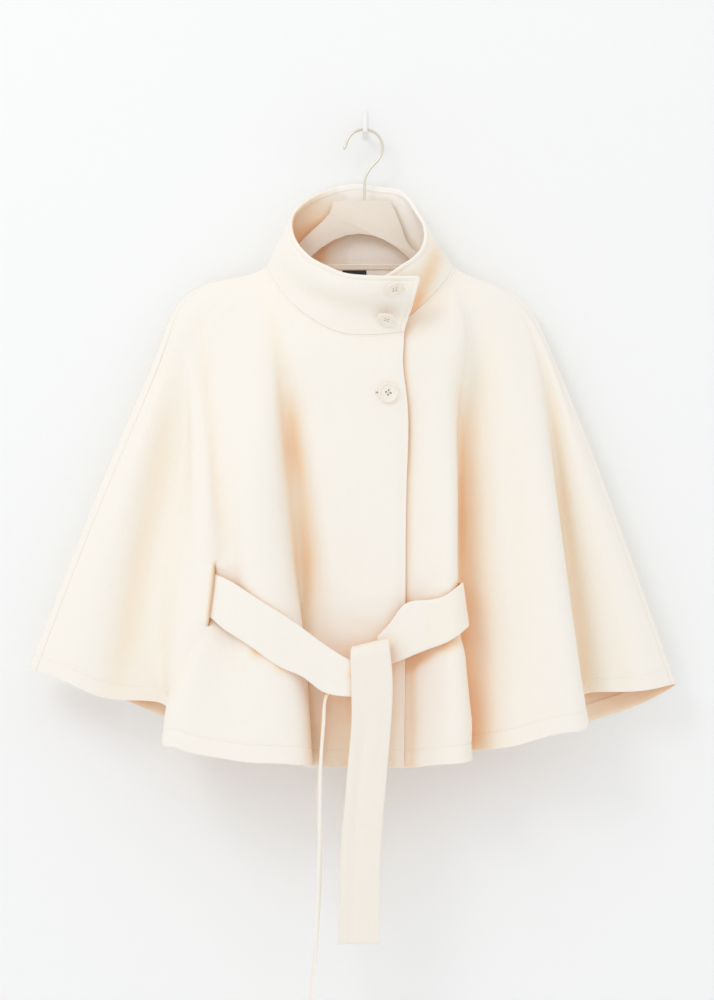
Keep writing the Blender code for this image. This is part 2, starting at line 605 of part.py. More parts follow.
def make_buttons(cape, group, cutters, material):
    lapped = (cape.u[-4], cape.u[-1])
    for number, button in enumerate(BUTTONS, 1):
        on_collar = number < 3
        u, v = cape.find(button.x, button.z, lapped, (RIM_ROW, 0.0) if on_collar else (0.0, 0.5))
        normal = cape.normals([u], [v])[0, 0]
        wall = COLLAR_WALL if on_collar else BODY_WALL
        place = cape.at([u], [v])[0, 0] + normal * wall / 2.0
        make_button(number, place, normal, button, group, cutters, material)


def hanger_room(cape, side):
    """Points of the cloth's inner side that lie across the hanger's thickness, on one side."""
    seam = cape.right_seam if side > 0 else cape.left_seam
    us = np.linspace(cape.u[seam - 7], cape.u[seam + 7], 241)
    room = []
    for wall, vs in ((COLLAR_WALL, np.linspace(RIM_ROW, 0.0, 60)), (BODY_WALL, np.linspace(0.0, 0.1, 80))):
        points = cape.at(us, vs) - cape.normals(us, vs) * wall / 2.0
        across = abs(points[:, :, 1] - HANGER_Y) < HANGER_THICK / 2.0 + HANGER_CLEAR
        room.append(points[across])
    return np.concatenate(room)


def hanger_outline(cape):
    """The flat hanger's edge. Neck and arms are kept inside the cloth, just under the shoulders."""
    sides = []
    for sign in (-1, 1):
        room = hanger_room(cape, sign)
        neck = []
        for half_width, z in HANGER_NECK[sign]:
            near = room[abs(room[:, 2] - z) < 3.0]
            limit = (abs(near[:, 0] - HANGER_X)).min() - HANGER_CLEAR * 2.0 if len(near) else half_width
            neck.append((HANGER_X + sign * min(half_width, limit), z))
        arm = []
        for reach in np.linspace(HANGER_ARM_FROM, HANGER_ARM_TO, len(HANGER_ARM_DEPTHS)):
            x = HANGER_X + sign * reach
            near = room[abs(room[:, 0] - x) < 4.0]
            arm.append((x, near[:, 2].min() - 2.0 * HANGER_CLEAR))
        under = [(x - sign * 6, z - depth) for (x, z), depth in zip(arm[::-1], HANGER_ARM_DEPTHS)]
        arch = [(HANGER_ARCH_X + sign * a, HANGER_ARCH_Z - a * a * HANGER_ARCH_FALL) for a in (64, 48, 32, 16)]
        sides.append((neck + arm, under + arch))
    (left_top, left_low), (right_top, right_low) = sides
    return left_top[::-1] + right_top + right_low + [(HANGER_ARCH_X, HANGER_ARCH_Z)] + left_low[::-1]


def make_hanger(cape, group, hanger_finish, wire_finish):
    curve = bpy.data.curves.new("hanger_body", "CURVE")
    curve.dimensions = "2D"
    curve.fill_mode = "BOTH"
    curve.extrude = HANGER_THICK / 2.0 * MM
    outline = hanger_outline(cape)
    spline = curve.splines.new("POLY")
    spline.points.add(len(outline) - 1)
    for point, (x, z) in zip(spline.points, outline):
        point.co = (x * MM, z * MM, 0.0, 1.0)
    spline.use_cyclic_u = True
    flat = bpy.data.objects.new("hanger_flat", curve)
    group.objects.link(flat)
    flat.matrix_world = Matrix.Translation((0, HANGER_Y * MM, 0)) @ Matrix.Rotation(pi / 2, 4, "X")
    bpy.context.view_layer.update()
    mesh = bmesh.new()
    mesh.from_mesh(bpy.data.meshes.new_from_object(flat.evaluated_get(bpy.context.evaluated_depsgraph_get())))
    mesh.transform(flat.matrix_world)
    bmesh.ops.remove_doubles(mesh, verts=mesh.verts, dist=0.01 * MM)
    bmesh.ops.recalc_face_normals(mesh, faces=mesh.faces)
    bpy.data.objects.remove(flat)
    body = mesh_object("hanger_body", mesh, group, hanger_finish)
    bevel = body.modifiers.new("edges", "BEVEL")
    bevel.width = 1.5 * MM
    bevel.segments = 2
    bevel.limit_method = "ANGLE"
    bevel.angle_limit = radians(50)

    bend = []
    for i in range(17):
        angle = radians(WIRE_SAG_FROM + (WIRE_SAG_TO - WIRE_SAG_FROM) * i / 16.0)
        bend.append((WIRE_BEND_X + WIRE_BEND_R * cos(angle), WIRE_BEND_Z + WIRE_BEND_R * sin(angle)))
    stem = [(STEM_X, HANGER_TOP + GAP), (STEM_X + 0.3, -88), (STEM_X + 1, -76), (STEM_X + 3.5, -68.5),
            (STEM_X + 9, -60)]
    make_wire("hanger_hook", stem + bend + [(-27.2, -38.0)], group, wire_finish)


def make_wire(name, route, group, material):
    curve = bpy.data.curves.new(name, "CURVE")
    curve.dimensions = "3D"
    curve.bevel_depth = WIRE_ACROSS / 2.0 * MM
    curve.bevel_resolution = 2
    curve.use_fill_caps = True
    spline = curve.splines.new("POLY")
    spline.points.add(len(route) - 1)
    for point, (x, z) in zip(spline.points, route):
        point.co = (x * MM, HANGER_Y * MM, z * MM, 1.0)
    curve.materials.append(material)
    thing = bpy.data.objects.new(name, curve)
    group.objects.link(thing)


def make_wall_hook(group, material):
    """A J in side view: a plate on the wall, an arm out and a lip turned up in front of the wire."""
    saddle = WIRE_BEND_Z + WIRE_BEND_R - WIRE_ACROSS / 2.0 - GAP
    outline = [(0.0, HOOK_LOW), (0.0, HOOK_TOP), (-HOOK_THICK * 0.6, HOOK_TOP), (-HOOK_THICK, HOOK_TOP - 4),
               (-HOOK_THICK, saddle), (-HOOK_REACH + HOOK_THICK, saddle),
               (-HOOK_REACH + HOOK_THICK, HOOK_LIP_TOP), (-HOOK_REACH + 0.6, HOOK_LIP_TOP),
               (-HOOK_REACH, HOOK_LIP_TOP - 2), (-HOOK_REACH, saddle - HOOK_THICK * 0.6),
               (-HOOK_REACH + 2.5, saddle - HOOK_THICK - 0.6), (-HOOK_THICK - 3, HOOK_LOW + 2)]
    mesh = bmesh.new()
    side = mesh.faces.new([mesh.verts.new((-HOOK_WIDE / 2 * MM, y * MM, z * MM)) for y, z in outline])
    grown = bmesh.ops.extrude_face_region(mesh, geom=[side])
    moved = [item for item in grown["geom"] if isinstance(item, bmesh.types.BMVert)]
    bmesh.ops.translate(mesh, verts=moved, vec=(HOOK_WIDE * MM, 0, 0))
    bmesh.ops.recalc_face_normals(mesh, faces=mesh.faces)
    hook = mesh_object("wall_hook", mesh, group, material)
    bevel = hook.modifiers.new("edges", "BEVEL")
    bevel.width = 0.5 * MM
    bevel.segments = 1
    bevel.limit_method = "ANGLE"
    bevel.angle_limit = radians(60)


def main():
    clear_scene()
    parts = collection("belted_cape_jacket")
    cutters = collection("cutters")
    cloth = finish("coat_cloth", CREAM, 0.9)
    button_finish = finish("button_cream", (0.90, 0.80, 0.68, 1), 0.35)
    label_finish = finish("label_black", (0.02, 0.02, 0.02, 1), 0.6)
    hanger_finish = finish("hanger_beige", BEIGE, 0.5)
    wire_finish = finish("hook_wire", (0.72, 0.68, 0.58, 1), 0.25, 1.0)
    hook_finish = finish("wall_hook_white", (0.88, 0.88, 0.88, 1), 0.4)

    cape = Cape()
    last = len(cape.u) - 1
    make_panel(cape, "front_left", 0, cape.right_seam, (1,), SLIT_B, parts, cloth)
    make_panel(cape, "back", cape.right_seam, cape.left_seam, (0, 1), None, parts, cloth)
    make_panel(cape, "front_right", cape.left_seam, last, (0,), SLIT_W, parts, cloth)
    make_collar(cape, parts, cloth)
    make_neck_trim(cape, parts, cloth, label_finish)
    make_belt(parts, cloth)
    make_buttons(cape, parts, cutters, button_finish)
    make_hanger(cape, parts, hanger_finish, wire_finish)
    make_wall_hook(parts, hook_finish)


main()
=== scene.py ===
# Ivory cape jacket with a funnel collar and a tied belt, hung on a flat hanger from a wall hook.
# Sizes are in millimetres, and mm turns them into metres. The origin is the hook's plate on the wall.

from collections import namedtuple
from math import cos, pi, radians, sin

import bmesh
import bpy
import numpy as np
from mathutils import Matrix, Vector
from mathutils.bvhtree import BVHTree


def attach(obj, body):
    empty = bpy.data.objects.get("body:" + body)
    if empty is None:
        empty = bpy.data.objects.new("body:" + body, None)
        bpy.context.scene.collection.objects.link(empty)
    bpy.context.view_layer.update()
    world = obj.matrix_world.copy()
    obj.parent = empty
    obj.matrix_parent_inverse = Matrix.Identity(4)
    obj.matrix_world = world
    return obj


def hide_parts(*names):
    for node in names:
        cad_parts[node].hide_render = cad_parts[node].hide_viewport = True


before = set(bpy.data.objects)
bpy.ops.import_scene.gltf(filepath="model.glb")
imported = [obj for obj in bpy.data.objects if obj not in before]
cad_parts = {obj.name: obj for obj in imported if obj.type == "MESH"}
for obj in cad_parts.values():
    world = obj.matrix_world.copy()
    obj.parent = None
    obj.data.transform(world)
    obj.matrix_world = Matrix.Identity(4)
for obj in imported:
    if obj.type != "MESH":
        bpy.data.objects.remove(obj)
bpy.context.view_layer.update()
mm = 0.001
borders = ((0, 0), (0, 1), (1, 0), (1, 1))  # of a grid: axis, and which end of it


def deselectAll():
    bpy.ops.object.select_all(action="DESELECT")


def addObject(name, data):
    piece = bpy.data.objects.new(name, data)
    bpy.context.scene.collection.objects.link(piece)
    return piece


def unit(vectors):
    return vectors / np.linalg.norm(vectors, axis=-1, keepdims=True)


def runLengths(points):
    # how far along a run of points each one is
    return np.concatenate(([0.0], np.cumsum(np.linalg.norm(np.diff(points, axis=0), axis=1))))


deselectAll()
print("frame loaded,", len(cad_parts), "nodes")


class Wire:
    # a socket that does maths in plain expressions
    def __init__(self, paint, socket):
        self.paint, self.socket = paint, socket

    def maths(self, operation, other):
        return self.paint.node("ShaderNodeMath", {"operation": operation}, {0: self, 1: other})

    def __add__(self, other):
        return self.maths("ADD", other)

    def __mul__(self, other):
        return self.maths("MULTIPLY", other)


class Paint:
    # adds the nodes of one material
    def __init__(self, name):
        self.material = bpy.data.materials.new(name)
        self.material.use_nodes = True
        self.tree = self.material.node_tree
        self.tree.nodes.clear()
        self.place = 0

    def node(self, kind, settings=None, sockets=None, out=0):
        made = self.tree.nodes.new(kind)
        self.place += 1
        made.location = (self.place % 8 * 220 - 900, self.place // 8 * -260)
        for key, value in (settings or {}).items():
            if key == "stops":
                ramp = made.color_ramp
                ramp.elements.remove(ramp.elements[1])
                for k, (position, colour) in enumerate(value):
                    stop = ramp.elements.new(position) if k else ramp.elements[0]
                    stop.position, stop.color = position, colour
            else:
                setattr(made, key, value)
        for key, value in (sockets or {}).items():
            if isinstance(value, Wire):
                self.tree.links.new(value.socket, made.inputs[key])
            else:
                made.inputs[key].default_value = value
        return Wire(self, made.outputs[out]) if len(made.outputs) else None

    def where(self):
        return self.node("ShaderNodeTexCoord", out="Object")

    def noise(self, scale, detail=3.0, roughness=0.5, vector=None, distortion=0.0):
        return self.node("ShaderNodeTexNoise", {"noise_dimensions": "3D"},
                         {"Vector": vector or self.where(), "Scale": scale, "Detail": detail,
                          "Roughness": roughness, "Distortion": distortion})

    def ramp(self, factor, low, high):
        return self.node("ShaderNodeMapRange", {"clamp": True},
                         {"Value": factor, "From Min": low, "From Max": high})

    def blend(self, factor, first, second):
        return self.node("ShaderNodeMix", {"data_type": "RGBA"}, {0: factor, 6: first, 7: second}, out=2)

    def bump(self, height, distance, strength=1.0, normal=None):
        sockets = {"Height": height, "Distance": distance, "Strength": strength}
        if normal:
            sockets["Normal"] = normal
        return self.node("ShaderNodeBump", {}, sockets)

    def surface(self, sockets):
        shader = self.node("ShaderNodeBsdfPrincipled", {}, sockets)
        self.node("ShaderNodeOutputMaterial", {}, {"Surface": shader})
        return self.material


def paintCloth(name, look):
    # painted shade: depth runs from 0 on open cloth to 1 deep in a fold, where light has gone from cloth to
    # cloth, and the colour ramp turns the cloth warmer and darker with it
    paint = Paint(name)
    depth = paint.node("ShaderNodeAttribute", {"attribute_name": "depth"}, {}, out="Fac")
    flat = paint.node("ShaderNodeUVMap", {"uv_map": "cloth"}, {})
    patchy = paint.noise(look["patchScale"], 2.0)
    fibres = paint.noise(look["fibreScale"], 4.0, 0.65, distortion=0.6)
    nap = paint.noise(look["napScale"], 3.0, 0.6)
    turn = (0.0, 0.0, radians(look["twillTurn"]))
    slant = paint.node("ShaderNodeMapping", {}, {"Vector": flat, "Rotation": turn})
    twill = paint.node("ShaderNodeTexWave", {"wave_type": "BANDS", "bands_direction": "X"},
                       {"Vector": slant, "Scale": look["twillScale"], "Distortion": 1.2, "Detail": 2.0,
                        "Detail Scale": 2.0})
    colour = paint.node("ShaderNodeValToRGB", {"stops": look["stops"]}, {"Fac": depth})
    colour = paint.blend(patchy * look["patchTint"], colour, look["patchColour"])
    colour = paint.blend(paint.ramp(fibres, 0.35, 0.75) * look["fibreTint"], colour, look["fibreColour"])
    normal = paint.bump(twill, look["twillHeight"], 0.5)
    normal = paint.bump(nap, look["napHeight"], 0.5, normal)
    normal = paint.bump(fibres, look["fibreHeight"], 0.6, normal)
    rough = paint.ramp(fibres, 0.2, 0.8) * 0.1 + look["roughness"]
    return paint.surface({"Base Color": colour, "Roughness": rough, "Normal": normal,
                          "Sheen Weight": look["sheen"], "Sheen Roughness": 0.5,
                          "Sheen Tint": look["sheenTint"], "Specular IOR Level": 0.15})


clothLook = {
    # the stops are painted shade, from open cloth to deep in a fold; the lightest, below 0.06, is painted
    # light that only the inner side reaches
    "stops": [(0.0, (0.985, 0.965, 0.93, 1)), (0.06, (0.93, 0.888, 0.817, 1)),
              (0.30, (0.925, 0.857, 0.75, 1)), (0.50, (0.92, 0.79, 0.63, 1)),
              (0.68, (0.92, 0.68, 0.46, 1)), (0.90, (0.87, 0.50, 0.23, 1))],
    "patchColour": (0.93, 0.88, 0.80, 1), "patchTint": 0.35, "fibreColour": (0.96, 0.93, 0.88, 1),
    "fibreTint": 0.16, "patchScale": 7.0, "fibreScale": 900.0, "napScale": 260.0, "napHeight": 0.0004,
    "fibreHeight": 0.00012, "twillTurn": 63.0, "twillScale": 260.0, "twillHeight": 0.00005, "roughness": 0.84,
    "sheen": 0.18, "sheenTint": (1.0, 0.97, 0.92, 1),
}
clothPaint = paintCloth("ivory wool", clothLook)
tailPaintedShade = (0.955, 0.945, 0.925)  # painted shade: the front tail's cloth is painted a little darker than the rest
tailStops = [(at, tuple(part * shade for part, shade in zip(colour, tailPaintedShade)) + (1,))
             for at, colour in clothLook["stops"]]
tailLook = dict(clothLook, stops=tailStops)
tailPaint = paintCloth("ivory wool with painted shade for the belt's tail", tailLook)


def paintThread(name, colour, deep):
    paint = Paint(name)
    strands = paint.noise(1400.0, 2.0, 0.7)
    tint = paint.blend(strands, colour, deep)
    return paint.surface({"Base Color": tint, "Roughness": strands * 0.15 + 0.55,
                          "Normal": paint.bump(strands, 0.00006, 0.5), "Sheen Weight": 0.1})


threadPaint = paintThread("ivory thread", (0.94, 0.88, 0.79, 1), (0.85, 0.76, 0.64, 1))
print("cloth painted")


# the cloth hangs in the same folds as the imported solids
capeShape = {
    "neckMiddle": (-6.5, -25.0, -185.0), "neckHalfWidth": 116.0, "neckFront": 77.0, "neckBack": 15.0,
    "neckDrop": 90.0, "neckDropPower": 1.7, "neckBackRise": 5.0,
    "rimMiddle": (-8.5, -70.0, -141.0), "rimHalfWidth": 82.0, "rimHalfDepth": 62.0,
    "rimTip": 62.0, "rimSideTip": 6.0, "lapEase": 0.2, "lapRimTurn": 2.42,
    "underInset": 7.0, "underFrom": 30.0, "underTo": 70.0, "collarRoll": 6.0,
    "rimCorner": 8.0, "rimFall": 5.0, "underDrop": 6.0, "lapDrop": 4.5, "shoulderRise": 4.0,
    "armLevel": (-354.0, -277.0), "chestLevel": (-440.0, -398.0), "waistLevel": (-586.0, -545.0),
}
levels = (-0.24, -0.16, -0.08, 0.0, 0.045, 0.09, 0.18, 0.38, 0.66, 1.0)
rimRow, hemRow = levels[0], levels[-1]

# turn: place on the neck seam in degrees; lift: 0 has the middle's heights, 1 the over-arm seam's
Fold = namedtuple("Fold", "name turn lift shoulderX shoulderY shoulderZ armX armY "
                          "chestX chestY waistX waistY hemX hemY hemZ")
frontLeftFolds = [
    #    name         turn  lift  shoulder          arm         chest       waist       hem
    Fold("underlap",    4, 0.00,   -3, -99, -296,   -2,  -99,    1,  -97,    1,  -91,    1,  -87, -802),
    Fold("under",      17, 0.00,   25, -99, -296,   28,  -99,   29,  -97,   28,  -93,   27,  -89, -803),
    Fold("beside",     31, 0.00,   59, -98, -287,   59,  -99,   59,  -98,   58,  -96,   57,  -94, -804),
    Fold("front",      43, 0.00,   87, -92, -274,   84, -102,   84, -104,   84, -106,   88, -108, -799),
    Fold("ridgeB",     54, 0.00,  106, -86, -262,  106,  -97,  106, -105,  105, -113,  116, -118, -796),
    Fold("rollB",      62, 0.00,  116, -77, -251,  113,  -86,  112,  -94,  112, -102,  129, -106, -794),
    Fold("slitB",      67, 0.00,  120, -68, -245,  115,  -71,  111,  -74,  110,  -77,  128,  -78, -792),
    Fold("valleyB",    71, 0.00,  127, -59, -241,  122,  -56,  116,  -53,  114,  -52,  131,  -52, -788),
    Fold("riseB",      75, 0.05,  142, -54, -240,  147,  -61,  150,  -69,  152,  -75,  162,  -82, -782),
    Fold("panel",    77.7, 0.10,  160, -52, -241,  174,  -68,  181,  -76,  187,  -88,  201,  -98, -772),
    Fold("ridgeC",   80.3, 0.20,  175, -48, -242,  195,  -65,  208,  -82,  223, -101,  240, -113, -760),
    Fold("rollC",      82, 0.35,  186, -44, -242,  213,  -54,  228,  -68,  248,  -85,  273,  -96, -752),
    Fold("valleyC",  83.5, 0.45,  191, -41, -242,  220,  -40,  235,  -37,  255,  -34,  271,  -32, -721),
    Fold("wing",     85.5, 0.70,  194, -39, -241,  225,  -42,  252,  -46,  288,  -52,  322,  -56, -714),
    Fold("bySeam",   87.5, 0.90,  197, -35, -240,  223,  -39,  262,  -48,  311,  -56,  358,  -60, -710),
    Fold("armSeam",    90, 1.00,  200, -27, -238,  220,  -32,  269,  -39,  323,  -45,  380,  -48, -706),
]
backFolds = [
    Fold("edgeR",      94, 1.00,  205, -20, -237,  226,  -25,  275,  -31,  329,  -37,  386,  -40, -707),
    Fold("wingR",      98, 0.90,  201, -12, -240,  217,  -16,  259,  -19,  307,  -22,  355,  -23, -727),
    Fold("sideR",     104, 0.60,  188, -10, -250,  195,  -12,  220,  -14,  252,  -15,  295,  -16, -750),
    Fold("valleyR",   118, 0.30,  140,  -9, -262,  150,  -12,  165,  -18,  190,  -24,  225,  -30, -766),
    Fold("ridgeR",    138, 0.10,   92,  -8, -270,  100,   -9,  112,  -10,  128,  -11,  148,  -12, -780),
    Fold("centreR",   160, 0.00,   45,  -9, -275,   47,  -12,   50,  -17,   58,  -22,   68,  -27, -788),
    Fold("centre",    180, 0.00,   -8,  -8, -278,   -8,   -9,   -8,  -10,  -10,  -11,  -12,  -12, -790),
    Fold("centreL",   200, 0.00,  -60,  -9, -275,  -62,  -12,  -66,  -17,  -76,  -22,  -90,  -27, -788),
    Fold("ridgeL",    222, 0.10, -108,  -8, -270, -116,   -9, -128,  -10, -148,  -11, -170,  -12, -778),
    Fold("valleyL",   242, 0.30, -156,  -9, -262, -166,  -12, -182,  -18, -208,  -24, -245,  -30, -750),
    Fold("sideL",     256, 0.60, -207, -10, -244, -207,  -12, -232,  -14, -270,  -15, -310,  -16, -724),
    Fold("wingL",     262, 0.90, -222, -12, -232, -238,  -17, -284,  -22, -334,  -25, -375,  -27, -701),
    Fold("edgeL",     266, 1.00, -228, -20, -226, -253,  -27, -303,  -37, -362,  -45, -417,  -49, -684),
]
frontRightFolds = [
    Fold("armSeam",   270, 1.00, -223, -27, -227, -246,  -33, -293,  -44, -353,  -52, -407,  -56, -688),
    Fold("bySeam",    273, 0.90, -217, -37, -234, -239,  -43, -276,  -57, -323,  -66, -364,  -72, -703),
    Fold("wing",      276, 0.70, -212, -42, -240, -230,  -47, -254,  -53, -291,  -60, -313,  -64, -723),
    Fold("valleyW",   280, 0.45, -204, -46, -247, -222,  -48, -225,  -48, -254,  -52, -247,  -54, -732),
    Fold("rollW",     283, 0.35, -195, -49, -252, -213,  -56, -211,  -72, -223,  -90, -247, -102, -772),
    Fold("ridgeW",    287, 0.25, -185, -53, -256, -201,  -66, -195,  -92, -201, -110, -232, -121, -776),
    Fold("slitW",     289, 0.20, -176, -55, -258, -190,  -69, -183,  -92, -185, -110, -218, -125, -781),
    Fold("dent",      291, 0.10, -167, -58, -261, -180,  -72, -170,  -92, -163, -108, -182, -126, -788),
    Fold("broadA",    296, 0.00, -148, -66, -267, -154,  -85, -151, -106, -143, -120, -139, -130, -794),
    Fold("ridgeA",    300, 0.00, -131, -75, -271, -132,  -94, -128, -111, -114, -124, -103, -131, -795),
    Fold("rollA",     305, 0.00, -113, -82, -275, -110,  -90, -104,  -94,  -88,  -98,  -72, -104, -801),
    Fold("valleyA",   310, 0.00,  -97, -86, -278,  -95,  -76,  -88,  -62,  -81,  -54,  -79,  -54, -806),
    Fold("riseA",     320, 0.00,  -74, -96, -286,  -70,  -92,  -63,  -84,  -53,  -78,  -53,  -74, -805),
    Fold("middleL",   338, 0.00,  -43, -103, -294, -39, -102,  -36,  -98,  -28,  -92,  -28,  -88, -804),
    Fold("middle",    359, 0.00,    0, -106, -299,   2, -106,    5, -103,    8,  -98,    8,  -94, -804),
    Fold("lapEdge",   388, 0.00,   46, -107, -301,  51, -107,   51, -105,   49, -102,   47,  -98, -804),
]
allFolds = frontLeftFolds + backFolds + frontRightFolds
rightSeam = len(frontLeftFolds) - 1
leftSeam = rightSeam + len(backFolds) + 1
lastFold = len(allFolds) - 1


def ease(start, stop, value):
    t = np.clip((value - start) / (stop - start), 0.0, 1.0)
    return t * t * (3.0 - 2.0 * t)


def splineWeights(knots, places):
    # rows of weights that interpolate values at the knots with a natural cubic spline
    knots = np.asarray(knots, float)
    places = np.asarray(places, float)
    count = len(knots)
    step = np.diff(knots)
    bend = np.zeros((count, count))
    slope = np.zeros((count, count))
    bend[0, 0] = bend[-1, -1] = 1.0
    for i in range(1, count - 1):
        bend[i, i - 1:i + 2] = step[i - 1], 2.0 * (step[i - 1] + step[i]), step[i]
        slope[i, i - 1:i + 2] = 1.0 / step[i - 1], -1.0 / step[i - 1] - 1.0 / step[i], 1.0 / step[i]
    second = np.linalg.solve(bend, 6.0 * slope)
    span = np.clip(np.searchsorted(knots, places, side="right") - 1, 0, count - 2)
    h = step[span]
    a = (knots[span + 1] - places) / h
    b = 1.0 - a
    weights = np.zeros((len(places), count))
    rows = np.arange(len(places))
    weights[rows, span] += a
    weights[rows, span + 1] += b
    weights += (((a ** 3 - a) * h * h / 6.0)[:, None] * second[span]
                + ((b ** 3 - b) * h * h / 6.0)[:, None] * second[span + 1])
    return weights


def lappedCosine(turn, lapped):
    value = cos(radians(turn))
    if lapped and turn > 360.0:
        value = 1.0 - (1.0 - value) * capeShape["lapEase"]
    return value


def neckPoint(turn, lapped, inset):
    s = capeShape
    x, y, z = s["neckMiddle"]
    ahead = lappedCosine(turn, lapped)
    reach = s["neckFront"] if ahead > 0.0 else s["neckBack"]
    return np.array((x + (s["neckHalfWidth"] - inset) * sin(radians(turn)),
                     y - (reach - (inset if ahead > 0.0 else 0.0)) * ahead,
                     z - s["neckDrop"] * max(ahead, 0.0) ** s["neckDropPower"]
                     + s["neckBackRise"] * max(-ahead, 0.0)))


def rimPoint(turn, lapped, inset):
    s = capeShape
    x, y, z = s["rimMiddle"]
    if lapped and turn > 360.0:
        turn = 360.0 + (turn - 360.0) * s["lapRimTurn"]
    ahead = lappedCosine(turn, lapped)
    aside = sin(radians(turn))
    x += (s["rimHalfWidth"] - inset) * aside
    y -= (s["rimHalfDepth"] - inset) * ahead
    z -= s["rimTip"] * ahead + s["rimSideTip"] * aside
    if ahead < 0.0:
        z += s["rimCorner"] * ease(118.0, 138.0, turn) * (1.0 - ease(138.0, 168.0, turn))
        z -= s["rimFall"] * sin(radians(2.0 * max(turn, 180.0)))
    elif inset:
        z -= s["underDrop"] * (1.0 - ease(20.0, 42.0, turn))
    elif lapped:
        z -= s["lapDrop"] * ease(350.0, 376.0, turn)
    return np.array((x, y, z))


def foldLine(fold, side):
    s = capeShape
    lapped = side == "lapped"
    under = 1.0 - ease(s["underFrom"], s["underTo"], fold.turn)
    inset = s["underInset"] * under if side == "under" else 0.0
    neck = neckPoint(fold.turn, lapped, inset)
    rim = rimPoint(fold.turn, lapped, inset)
    ahead = max(cos(radians(fold.turn)), 0.0)
    roll = np.array((0.0, s["collarRoll"] * ahead, 0.0))
    shoulder = np.array((fold.shoulderX, fold.shoulderY, fold.shoulderZ))
    rise = s["shoulderRise"] * abs(sin(radians(fold.turn))) ** 4
    slope = (neck + shoulder) / 2.0 + np.array((0.0, 0.0, rise))
    arm, chest, waist = (s[level][0] + (s[level][1] - s[level][0]) * fold.lift
                         for level in ("armLevel", "chestLevel", "waistLevel"))
    return np.array((rim, neck + (rim - neck) * 2.0 / 3.0 - roll, neck + (rim - neck) / 3.0 + roll, neck,
                     slope, shoulder, (fold.armX, fold.armY, arm), (fold.chestX, fold.chestY, chest),
                     (fold.waistX, fold.waistY, waist), (fold.hemX, fold.hemY, fold.hemZ)))


foldNet = np.array([foldLine(fold, "under") for fold in frontLeftFolds]
                   + [foldLine(fold, "plain") for fold in backFolds]
                   + [foldLine(fold, "lapped") for fold in frontRightFolds])
foldLength = np.concatenate((np.zeros((len(foldNet), 1)),
                             np.cumsum(np.linalg.norm(np.diff(foldNet, axis=1), axis=2), axis=1)), axis=1)
foldApart = np.linalg.norm(np.diff(foldNet, axis=0), axis=2)
foldPlace = np.concatenate(([0.0], np.cumsum(np.sqrt(foldApart[:, 5:]).mean(axis=1))))
foldWidth = foldApart[:, 7:].mean(axis=1)


def capeAt(across, down):
    levelWeights = splineWeights(levels, down)
    lines = [splineWeights(length, levelWeights @ length) @ line for length, line in zip(foldLength, foldNet)]
    return np.einsum("ai,ibk->abk", splineWeights(foldPlace, across), np.array(lines))


def capeNormals(across, down):
    du, dv = 1e-3 * foldPlace[-1], 1e-3
    across, down = np.asarray(across, float), np.asarray(down, float)

    def beside(u, v):
        return capeAt(np.clip(across + u, 0, foldPlace[-1]), np.clip(down + v, rimRow, hemRow))

    alongU, alongV = beside(du, 0.0) - beside(-du, 0.0), beside(0.0, dv) - beside(0.0, -dv)
    return unit(np.cross(alongV, alongU))


def capeColumns(first, last, widest):
    places = []
    for i in range(first, last):
        steps = max(2, round(foldWidth[i] / widest))
        places += list(np.linspace(foldPlace[i], foldPlace[i + 1], steps, endpoint=False))
    return np.array(places + [foldPlace[last]])


def capeFind(x, z, acrossRange, downRange):
    # the place whose point shows at x, z from the front
    (lowU, highU), (lowV, highV) = acrossRange, downRange
    for _ in range(6):
        us, vs = np.linspace(lowU, highU, 25), np.linspace(lowV, highV, 25)
        points = capeAt(us, vs)
        away = (points[:, :, 0] - x) ** 2 + (points[:, :, 2] - z) ** 2
        i, j = np.unravel_index(np.argmin(away), away.shape)
        stepU, stepV = (highU - lowU) / 12.0, (highV - lowV) / 12.0
        lowU, highU = max(us[i] - stepU, acrossRange[0]), min(us[i] + stepU, acrossRange[1])
        lowV, highV = max(vs[j] - stepV, downRange[0]), min(vs[j] + stepV, downRange[1])
    return us[i], vs[j]


